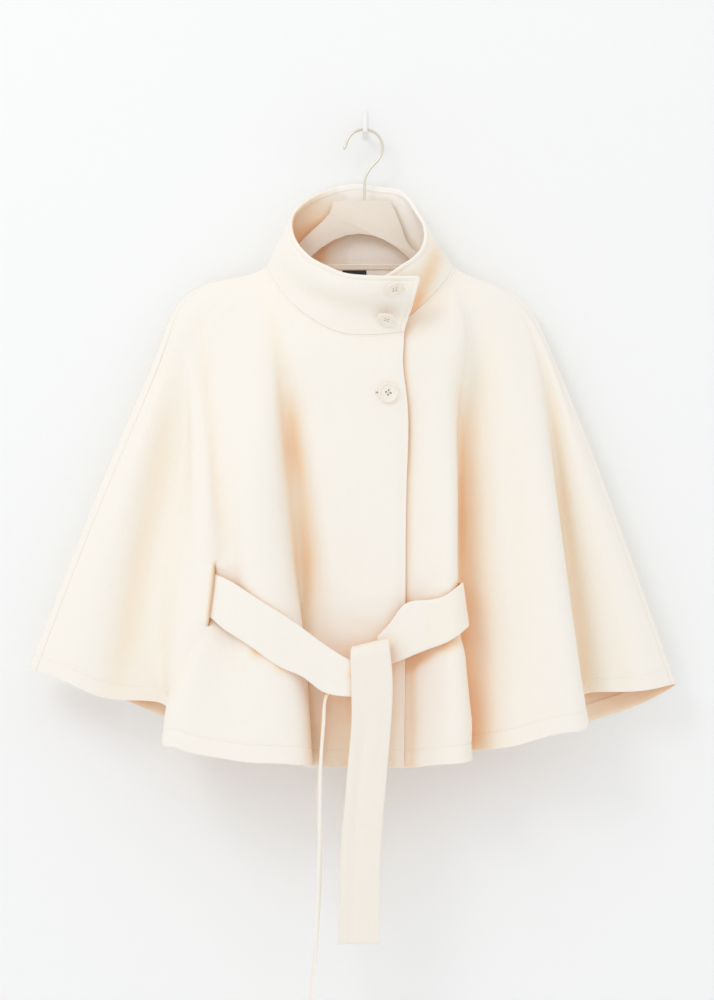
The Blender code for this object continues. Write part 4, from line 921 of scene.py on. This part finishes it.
# the belt in its stretches: both edges of the strip at each place
Strip = namedtuple("Strip", "topX topY topZ lowX lowY lowZ")
beltRows = {
    "beltLeft": ("belt_left", [
        Strip(-194, -104, -563, -203, -106, -613), Strip(-188, -107.2, -565, -196, -111, -616),
        Strip(-182.5, -109.3, -567, -189.5, -113.6, -619), Strip(-174, -114, -570, -183.5, -116.5, -623),
        Strip(-158, -121, -578, -174, -122.5, -631), Strip(-128, -130, -597, -149, -128, -647),
        Strip(-104, -131, -612, -126, -132, -663), Strip(-79, -129, -629, -100, -131, -680),
        Strip(-55, -128, -647, -75, -130, -691), Strip(-31, -128, -663, -50, -129, -709),
        Strip(-11, -129.2, -673, -24, -129.2, -714), Strip(11, -129, -681, 1, -129, -715)]),
    "beltRight": ("belt_right", [
        Strip(15, -112, -642, 11, -112, -680), Strip(32, -113, -623, 34, -113, -675),
        Strip(48, -113, -603, 54, -113, -667), Strip(73, -113, -598, 79, -115, -657),
        Strip(97, -120, -592, 101, -121, -648), Strip(110, -117, -583, 115, -118, -639),
        Strip(117, -107, -578, 124, -107, -632), Strip(117, -95, -577, 124, -95, -631),
        Strip(112.4, -85, -579, 114.6, -85, -633), Strip(109.9, -77, -581, 111.6, -77, -636),
        Strip(108, -70, -583, 109.5, -70, -638), Strip(104, -64, -585, 105, -64, -640)]),
    "beltRun": ("belt_run", [
        Strip(-194.7, -103.6, -563, -203.6, -105.5, -613), Strip(-200, -100.5, -566, -208, -101.8, -616),
        Strip(-204, -91, -569, -209, -91, -619), Strip(-202, -78, -573, -204, -78, -623),
        Strip(-196, -62, -578, -197, -62, -628), Strip(-176, -42, -587, -176, -42, -637),
        Strip(-130, -32, -596, -130, -32, -646), Strip(-60, -31, -602, -60, -31, -652),
        Strip(20, -31, -602, 20, -31, -652), Strip(70, -36, -597, 70, -36, -647),
        Strip(90, -48, -592, 90, -48, -643), Strip(100.2, -58.4, -587, 101.2, -58.4, -641),
        Strip(103.6, -63.5, -585, 104.6, -63.5, -640)]),
    "beltTailFront": ("belt_tail_front", [
        Strip(-14, -119.5, -689, 26, -119.5, -689), Strip(-16, -119.5, -668, 27, -119.5, -660),
        Strip(-17, -121.5, -660, 27, -121.5, -650), Strip(-17, -126.5, -656, 28, -126.5, -645),
        Strip(-18, -131.5, -661, 29, -131.5, -651), Strip(-18, -133.5, -673, 31, -133.5, -668),
        Strip(-17, -134, -706, 33, -134, -706), Strip(-17, -133, -748, 31, -133, -748),
        Strip(-21, -132, -793, 27, -132, -797), Strip(-25, -130, -842, 23, -130, -842),
        Strip(-29, -128, -880, 20, -128, -880), Strip(-31, -127, -925, 18, -127, -925),
        Strip(-32, -126, -970, 18, -126, -970), Strip(-33, -126, -1014, 17, -126, -1014)]),
}
Tail = namedtuple("Tail", "x y z halfWidth twist")
sideTailRows = [
    Tail(-38, -123.4, -675, 14, 0), Tail(-42, -113.5, -694, 15, 42), Tail(-47, -110, -710, 16, 82),
    Tail(-50.5, -112, -735, 23, 88), Tail(-53, -114, -770, 25, 88), Tail(-56, -115, -817, 25, 86),
    Tail(-56, -115, -880, 25, 88), Tail(-56, -115, -940, 25, 92), Tail(-59, -115, -1000, 25, 90),
    Tail(-64, -115, -1065, 25, 87), Tail(-71, -115, -1140, 25, 84)]
beltCloth = {"wall": 4.0, "along": 4.0, "across": 14}

# soft ridges and troughs along a stretch: place across 0-1, from and to along 0-1, height, width across
# and painted shade (below zero, painted light)
beltFolds = {
    "beltTailFront": [(0.14, 0.30, 1.0, 0.7, 0.10, 0.0), (0.30, 0.28, 1.0, -1.5, 0.10, 0.10),
                      (0.62, 0.30, 0.55, 0.6, 0.16, 0.0), (0.80, 0.26, 0.42, -0.7, 0.10, 0.05)],
    "beltLeft": [(0.75, 0.62, 1.0, -0.9, 0.14, -0.10), (0.35, 0.70, 1.0, 0.0, 0.14, -0.2)],
    "beltRight": [(0.30, 0.00, 0.30, -0.8, 0.14, 0.05), (0.55, 0.05, 0.50, 0.5, 0.18, 0.0),
                  (0.25, 0.38, 0.62, -0.6, 0.12, 0.03), (0.55, 0.30, 0.80, -0.4, 0.60, 0.22)],
    "beltTailSide": [(0.5, 0.15, 1.0, -0.6, 0.30, 0.0)],
}
beltTurnsIn = {"beltLeft": (0.0, 2.0), "beltRun": (20.0, 60.0)}  # mm along it
turnedInPaintedShade = 0.9


def makeStrip(name, edges):
    edges = np.array(edges, float)
    knots = runLengths(edges.mean(axis=1))
    places = np.linspace(0.0, knots[-1], max(8, round(knots[-1] / beltCloth["along"])))
    grid = np.einsum("ai,ijk->ajk", splineWeights(knots, places), edges)
    share = np.linspace(0.0, 1.0, beltCloth["across"])[None, :, None]
    points = grid[:, :1] * (1.0 - share) + grid[:, 1:] * share
    along = np.gradient(points, axis=0)
    out = unit(np.cross(np.broadcast_to(grid[:, 1:] - grid[:, :1], points.shape), along))
    sheet = Sheet(points, -out if out[:, :, 1].mean() > 0.0 else out, beltCloth["wall"] / 2.0)
    for axis, end in borders:
        sheet.respace(axis, end, np.array(edgeSteps))
    width, length = sheet.reach(1, 0), sheet.reach(0, 0)
    width, length = width / width[:, -1:], length / length[-1:]
    for place, start, stop, height, spread, warm in beltFolds.get(name, ()):
        shape = np.exp(-((width - place) / spread) ** 2) * ease(start, start + 0.12, length)
        if stop < 1.0:
            shape = shape * (1.0 - ease(stop - 0.12, stop, length))
        sheet.lift(shape * height)
        # painted shade along each ridge or trough, or painted light where it is below zero
        sheet.tint += shape * warm
    if name in beltTurnsIn:  # painted shade where it goes in through the slit, which is deep in shade
        inMm = length * sheet.reach(0, 0)[-1].mean()
        sheet.tint += turnedInPaintedShade * (1.0 - ease(*beltTurnsIn[name], inMm))
    for axis, end in borders:
        sheet.roundEdge(axis, end)
    return sheetMesh(name, sheet, tailPaint if name == "beltTailFront" else clothPaint)


sideEdges = []
for row in sideTailRows:
    aside = np.array((cos(radians(row.twist)), -sin(radians(row.twist)), 0.0)) * row.halfWidth
    spot = np.array((row.x, row.y, row.z))
    sideEdges.append((spot - aside, spot + aside))
beltEdges = {name: (node, [(row[:3], row[3:]) for row in rows]) for name, (node, rows) in beltRows.items()}
beltEdges["beltTailSide"] = ("belt_tail_side", sideEdges)
for name, (node, edges) in beltEdges.items():
    piece = makeStrip(name, edges)
    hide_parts(node)
    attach(piece, "root")
print("belt made")


def useObject(piece):
    deselectAll()
    piece.select_set(True)
    bpy.context.view_layer.objects.active = piece


def settle(piece, name, paint, sharp=35.0):
    # normals out, one material, smooth but for sharp edges, and its place kept in the mesh
    useObject(piece)
    piece.name = piece.data.name = name
    bpy.ops.object.transform_apply(location=True, rotation=True, scale=True)
    bpy.ops.object.mode_set(mode="EDIT")
    bpy.ops.mesh.select_all(action="SELECT")
    bpy.ops.mesh.normals_make_consistent(inside=False)
    bpy.ops.object.mode_set(mode="OBJECT")
    piece.data.materials.clear()
    piece.data.materials.append(paint)
    bpy.ops.object.shade_smooth_by_angle(angle=radians(sharp))
    deselectAll()


def bevelEdges(piece, name, width, segments, angle):
    bevel = piece.modifiers.new(name, "BEVEL")
    bevel.width, bevel.segments = width * mm, segments
    bevel.limit_method, bevel.angle_limit = "ANGLE", radians(angle)
    bpy.ops.object.modifier_apply(modifier=bevel.name)


# buttons: one turned disc with four holes, copied to its three places
buttonLook = {
    "colour": (0.92, 0.865, 0.775, 1), "cloud": (0.885, 0.815, 0.71, 1), "vein": (0.82, 0.71, 0.57, 1),
    "roughness": 0.26, "coat": 0.25, "coatRoughness": 0.18,
}
buttonMake = {
    "sides": 64, "holeAcross": 2.3, "holePitch": 4.0, "holeSides": 20, "edge": 0.18, "foot": 0.82,
    "radius": 12.5, "barHeight": 2.0, "barShift": 0.24, "shankTop": 0.6, "shankNarrows": 0.35,
    # radius and height of each ring, from the foot round the rim into the dish
    "rings": [(10.0, 0.0), (11.4, 0.35), (12.2, 1.0), (12.5, 1.8), (12.35, 2.55), (11.9, 3.1), (11.2, 3.38),
              (10.5, 3.38), (9.9, 3.15), (9.45, 2.75), (9.1, 2.45), (8.6, 2.4), (7.7, 2.42), (7.3, 2.3),
              (6.9, 2.12), (5.0, 2.05), (3.6, 2.02)],
}
ButtonSpot = namedtuple("ButtonSpot", "x z nod turn spin stand onCollar")
buttonSpots = [
    ButtonSpot(34, -220, 47, 28, 25, 0, True), ButtonSpot(25.5, -251, 56, -22, 60, 3.0, True),
    ButtonSpot(28, -345.5, 4, 2, 35, 0.4, False),
]


def paintButton(name, look):
    paint = Paint(name)
    cloud = paint.noise(90.0, 3.0, 0.55, distortion=1.4)
    veins = paint.node("ShaderNodeTexWave", {"wave_type": "RINGS", "rings_direction": "Y"},
                       {"Vector": paint.where(), "Scale": 70.0, "Distortion": 7.0, "Detail": 3.0,
                        "Detail Scale": 1.5})
    scratches = paint.noise(1600.0, 2.0, 0.7)
    colour = paint.blend(paint.ramp(cloud, 0.35, 0.75) * 0.7, look["colour"], look["cloud"])
    colour = paint.blend(paint.ramp(veins, 0.6, 1.0) * 0.22, colour, look["vein"])
    return paint.surface({"Base Color": colour, "Roughness": scratches * 0.12 + look["roughness"],
                          "Normal": paint.bump(scratches, 0.00002, 0.4), "Coat Weight": look["coat"],
                          "Coat Roughness": look["coatRoughness"]})


def turnButton():
    make = buttonMake
    radius, height = make["rings"][0]
    deselectAll()
    bpy.ops.mesh.primitive_circle_add(vertices=make["sides"], radius=radius * mm, fill_type="NGON",
                                      location=(0, 0, 0))
    button = bpy.context.object
    bpy.ops.object.mode_set(mode="EDIT")
    bpy.ops.mesh.select_mode(type="FACE")
    bpy.ops.mesh.select_all(action="SELECT")
    for nextRadius, nextHeight in make["rings"][1:]:
        bpy.ops.mesh.extrude_region_move(TRANSFORM_OT_translate={"value": (0, 0, (nextHeight - height) * mm)})
        scale = nextRadius / radius
        bpy.ops.transform.resize(value=(scale, scale, 1.0))
        radius, height = nextRadius, nextHeight
    bpy.ops.object.mode_set(mode="OBJECT")
    drills = []
    away = make["holePitch"] / 2.0 * 2 ** 0.5 * mm
    for k in range(4):
        angle = radians(45 + 90 * k)
        centre = (away * cos(angle), away * sin(angle), 1.0 * mm)
        bpy.ops.mesh.primitive_cylinder_add(vertices=make["holeSides"], radius=make["holeAcross"] / 2.0 * mm,
                                            depth=8.0 * mm, location=centre)
        drills.append(bpy.context.object)
    deselectAll()
    for drill in drills:
        drill.select_set(True)
    bpy.context.view_layer.objects.active = drills[0]
    bpy.ops.object.join()
    settle(button, "buttonBlank", buttonPaint)
    useObject(button)
    cut = button.modifiers.new("holes", "BOOLEAN")
    cut.object, cut.solver = drills[0], "EXACT"
    bpy.ops.object.modifier_apply(modifier=cut.name)
    bpy.data.objects.remove(drills[0])
    bevelEdges(button, "worn edges", make["edge"], 2, 60)
    return button


def clothSpot(x, z, acrossRange, downRange, wall):
    u, v = capeFind(x, z, acrossRange, downRange)
    normal = capeNormals([u], [v])[0, 0]
    return capeAt([u], [v])[0, 0] + normal * wall / 2.0, normal


buttonPaint = paintButton("cream button", buttonLook)
# painted shadow: a dark red-brown thread paint for the shade in the buttonhole's slit and round the button
# shanks
shadowThreadPaint = paintThread("buttonhole shadow", (0.58, 0.20, 0.10, 1), (0.45, 0.13, 0.07, 1))
blank = turnButton()
lapRange = (foldPlace[-4], foldPlace[-1])
for number, spot in enumerate(buttonSpots, 1):
    wall = collarCloth["wall"] if spot.onCollar else bodyCloth["wall"]
    place, normal = clothSpot(spot.x, spot.z, lapRange, (rimRow, 0.0) if spot.onCollar else (0.0, 0.5), wall)
    nod, turn = radians(spot.nod), radians(spot.turn)
    face = Vector((sin(turn) * cos(nod), -cos(turn) * cos(nod), -sin(nod)))
    stand = spot.stand + buttonMake["radius"] * buttonMake["foot"] * sin(face.angle(Vector(normal)))
    facing = face.to_track_quat("Z", "Y").to_matrix().to_4x4()
    placed = (Matrix.Translation((Vector(place) + Vector(normal) * stand) * mm)
              @ facing @ Matrix.Rotation(radians(spot.spin), 4, "Z"))
    button = addObject("button%d" % number, blank.data.copy())
    button.data.transform(placed)
    settle(button, "button%d" % number, buttonPaint)
    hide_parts("button_%d" % number)
    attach(button, "root")
    # two bars of thread over the dish, and the shank that ties the button to the cloth, its thread in the
    # painted shadow colour
    half, high, strand = buttonMake["holePitch"] / 2.0, buttonMake["barHeight"], buttonMake["barShift"]
    bars = [(Vector((side * half + shift, -half, high)), Vector((side * half + shift, half, high)))
            for side in (-1, 1) for shift in (-strand, strand)]
    starts = np.array([placed @ (a * mm) for a, b in bars]) / mm
    ends = np.array([placed @ (b * mm) for a, b in bars]) / mm
    barsFace = np.tile(np.array(face), (len(bars), 1))
    feet = np.array([placed @ (Vector((x, y, buttonMake["shankTop"])) * mm)
                     for x in (-half, half) for y in (-half, half)]) / mm
    roots = np.array(place)[None, :] + (feet - feet.mean(axis=0)) * buttonMake["shankNarrows"]
    aside = np.tile(np.array(placed.to_3x3() @ Vector((1.0, 0.0, 0.0))), (4, 1))
    sewThreads("button%dThread" % number, [(starts, ends, barsFace)], threadPaint, 0.24, 0.9)
    sewThreads("button%dShank" % number, [(feet, roots, aside)], shadowThreadPaint, 1.0, 0.0)
bpy.data.objects.remove(blank)
print("buttons made")

# the front's buttonhole shows beside its button
holeMake = {"fromX": 12.4, "toX": 36.0, "z": -345.5, "half": 1.7, "lip": 0.35, "every": 0.62}


def sewButtonhole():
    make = holeMake
    (firstU, firstV), (lastU, lastV) = [capeFind(make[end], make["z"], lapRange, (0.0, 0.5))
                                        for end in ("fromX", "toX")]
    count = round((make["toX"] - make["fromX"]) / make["every"])
    shares = (np.arange(count) + 0.5) / count
    spots = [([firstU + (lastU - firstU) * t], [firstV + (lastV - firstV) * t]) for t in shares]
    middle, out = (np.array([find(*spot)[0, 0] for spot in spots]) for find in (capeAt, capeNormals))
    middle = middle + out * bodyCloth["wall"] / 2.0
    along = np.gradient(middle, axis=0)
    aside, forward = unit(np.cross(out, along)), unit(along)
    runs = [(middle + aside * side * make["lip"], middle + aside * side * make["half"], out)
            for side in (-1, 1)]
    for end, sign in ((0, -1.0), (-1, 1.0)):
        turns = np.radians(np.linspace(-80, 80, 9))
        ways = forward[end] * sign * np.cos(turns)[:, None] + aside[end] * np.sin(turns)[:, None]
        around = np.tile(out[end], (9, 1))
        runs.append((middle[end] + ways * make["lip"], middle[end] + ways * make["half"], around))
    sewThreads("buttonholeStitches", runs, threadPaint, 0.3, 0.35)
    # a dark strip along the slit's middle is painted shadow inside it
    runs = [(middle[:-3:3], middle[3::3][:len(middle[:-3:3])], out[:-3:3])]
    sewThreads("buttonholeSlit", runs, shadowThreadPaint, 0.42, 0.1)


sewButtonhole()
for name, runs in stitchRuns.items():
    sewThreads(name, runs, threadPaint)
print("stitches sewn")


# hanger and wall hook keep their solids' shapes, merged and finished smooth
def smoothCopy(name, node, paint, edge, sharp):
    piece = addObject(name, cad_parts[node].data.copy())
    useObject(piece)
    bpy.ops.object.mode_set(mode="EDIT")
    bpy.ops.mesh.select_all(action="SELECT")
    bpy.ops.mesh.remove_doubles(threshold=0.01 * mm)
    bpy.ops.mesh.dissolve_limited(angle_limit=radians(1.0))
    bpy.ops.object.mode_set(mode="OBJECT")
    if edge:
        bevelEdges(piece, "soft edges", edge, 3, 40)
    settle(piece, name, paint, sharp)
    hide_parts(node)
    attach(piece, "root")


def paintPlain(name, colour, darker, roughness, grain, height, stretch=(1.0, 1.0, 1.0), metallic=0.0):
    paint = Paint(name)
    spread = paint.node("ShaderNodeMapping", {}, {"Vector": paint.where(), "Scale": stretch})
    streaks = paint.noise(grain, 4.0, 0.6, spread)
    marks = paint.noise(grain * 6.0, 3.0, 0.7)
    colour = paint.blend(streaks * 0.6 + marks * 0.2, colour, darker)
    return paint.surface({"Base Color": colour, "Roughness": marks * 0.15 + roughness, "Metallic": metallic,
                          "Normal": paint.bump(streaks, height, 0.5)})


hangerPaint = paintPlain("beige hanger", (0.87, 0.80, 0.70, 1), (0.83, 0.75, 0.64, 1), 0.42, 60.0, 0.00012,
                         (1, 1, 6))
hookPaint = paintPlain("white hook", (0.92, 0.92, 0.92, 1), (0.88, 0.88, 0.88, 1), 0.3, 90.0, 0.00003)
wirePaint = paintPlain("pale plated wire", (0.80, 0.77, 0.66, 1), (0.68, 0.63, 0.50, 1), 0.24, 500.0, 0.00002,
                       (1, 1, 0.2), 1.0)
smoothCopy("hangerPlate", "hanger_body", hangerPaint, 0.0, 40.0)
smoothCopy("hookPlate", "wall_hook", hookPaint, 0.45, 50.0)

# the hanger's wire: up from the hanger, round the wall hook and out to its tip
wireMake = {"across": 3.5, "y": -26.0, "bend": (-1.0, -36.0, 23.0), "fromTurn": -38.0, "toTurn": 172.0,
            "stem": [(-1.0, -102.2), (-0.7, -88.0), (0.0, -76.0), (2.5, -68.5), (8.0, -60.0)],
            "tip": (-27.2, -38.0), "roundTip": 1.75}


def bendWire():
    make = wireMake
    x, z, radius = make["bend"]
    turns = np.radians(np.linspace(make["fromTurn"], make["toTurn"], 17))
    bend = [(x + radius * cos(turn), z + radius * sin(turn)) for turn in turns]
    route = np.array(make["stem"] + bend + [make["tip"]])
    reach = runLengths(route)
    places = np.concatenate((np.linspace(0.0, reach[-1] - 2.0, 150),
                             reach[-1] - np.array((1.4, 0.8, 0.35, 0.1, 0.0))))
    fine = splineWeights(reach, places) @ route
    curve = bpy.data.curves.new("hangerWire", "CURVE")
    curve.dimensions, curve.bevel_depth, curve.bevel_resolution = "3D", make["across"] / 2.0 * mm, 8
    curve.use_fill_caps = True
    line = curve.splines.new("POLY")
    line.points.add(len(fine) - 1)
    for dot, (px, pz), left in zip(line.points, fine, reach[-1] - places):
        dot.co = (px * mm, make["y"] * mm, pz * mm, 1.0)
        part = left / make["roundTip"]
        dot.radius = min(1.0, (part * (2.0 - part)) ** 0.5 if part < 1.0 else 1.0)
    useObject(addObject("hangerWire", curve))
    bpy.ops.object.convert(target="MESH")
    wire = bpy.context.object
    bpy.ops.object.mode_set(mode="EDIT")
    bpy.ops.mesh.select_all(action="SELECT")
    bpy.ops.mesh.remove_doubles(threshold=0.01 * mm)
    bpy.ops.object.mode_set(mode="OBJECT")
    settle(wire, "hangerWire", wirePaint)
    return wire


wire = bendWire()
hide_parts("hanger_hook")
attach(wire, "root")
print("hanger, wire and hook finished")


# the size of a stretch of cloth's cut that shows: width, length and area where it isn't a rectangle;
# the belt is cut 50 mm wide
Cut = namedtuple("Cut", "width length area held restsOn sewn")

# stage, camera and light
stageSizes = {"wallBehind": 0.4, "floorLow": -1600.0, "half": 4000.0}


def oneSided(name, colour):
    paint = Paint(name)
    facing = paint.node("ShaderNodeNewGeometry", {}, {}, out="Backfacing")
    shader = paint.node("ShaderNodeBsdfDiffuse", {}, {"Color": colour})
    clear = paint.node("ShaderNodeBsdfTransparent", {}, {})
    both = paint.node("ShaderNodeMixShader", {}, {0: facing, 1: shader, 2: clear})
    paint.node("ShaderNodeOutputMaterial", {}, {"Surface": both})
    return paint.material


def addPlane(name, location, turn, paint):
    bpy.ops.mesh.primitive_plane_add(size=2.0 * stageSizes["half"] * mm, location=location, rotation=turn)
    plane = bpy.context.object
    plane.name = name
    plane.data.materials.append(paint)
    deselectAll()


def addWall(paint):
    # the wall is open where the cape hides it from the front, so that the cape's back gets light too
    side, low, high = stageSizes["half"], -stageSizes["half"] - 500.0, stageSizes["half"] - 500.0
    mesh = bmesh.new()
    for loop in ([(-side, low), (side, low), (side, high), (-side, high)], wallOpening):
        corners = [mesh.verts.new((x * mm, stageSizes["wallBehind"] * mm, z * mm)) for x, z in loop]
        for one, other in zip(corners, corners[1:] + corners[:1]):
            mesh.edges.new((one, other))
    bmesh.ops.triangle_fill(mesh, use_beauty=True, use_dissolve=False, edges=mesh.edges)
    mesh.normal_update()
    bmesh.ops.reverse_faces(mesh, faces=[face for face in mesh.faces if face.normal.y > 0.0])
    data = bpy.data.meshes.new("wall")
    mesh.to_mesh(data)
    mesh.free()
    data.materials.append(paint)
    wall = addObject("wall", data)


wallOpening = [(-355, -645), (-320, -585), (-250, -430), (-205, -310), (-165, -262), (-95, -228),
               (-62, -190), (-46, -140), (36, -140), (52, -190), (90, -228), (165, -270),
               (192, -320), (225, -430), (285, -570), (325, -660), (240, -688), (150, -705),
               (0, -715), (-150, -695), (-250, -668)]
stagePaint = oneSided("pale wall", (0.927, 0.934, 0.935, 1))
addWall(stagePaint)
addPlane("floor", (0, -stageSizes["half"] * mm, stageSizes["floorLow"] * mm), (0, 0, 0), stagePaint)

cameraSpot = {"x": -10.1, "y": -3100.0, "z": -476.5, "lens": 88.5}
camera = addObject("camera", bpy.data.cameras.new("camera"))
camera.data.lens = cameraSpot["lens"]
camera.data.sensor_width = 36.0
camera.data.clip_end = 50.0
camera.location = (cameraSpot["x"] * mm, cameraSpot["y"] * mm, cameraSpot["z"] * mm)
camera.rotation_euler = (pi / 2, 0, 0)
bpy.context.scene.camera = camera


def addLight(name, spot, target, size, power, colour):
    data = bpy.data.lights.new(name, "AREA")
    data.shape = "RECTANGLE"
    data.size, data.size_y = size
    data.energy = power
    data.color = colour
    light = addObject(name, data)
    light.location = spot
    light.rotation_euler = (Vector(target) - Vector(spot)).to_track_quat("-Z", "Y").to_euler()


addLight("key", (-1.7, -2.4, 1.7), (0.0, 0.0, -0.5), (1.1, 1.1), 14.5, (1.0, 0.99, 0.975))
world = bpy.data.worlds.new("studio")
world.use_nodes = True
sky = world.node_tree.nodes["Background"].inputs
sky["Color"].default_value, sky["Strength"].default_value = (1.0, 1.0, 1.0, 1), 0.94
bpy.context.scene.world = world
bpy.context.scene.view_settings.view_transform = "Standard"
bpy.context.scene.cycles.max_bounces = 24
bpy.context.scene.cycles.diffuse_bounces = 16
print("stage, lights and camera set")
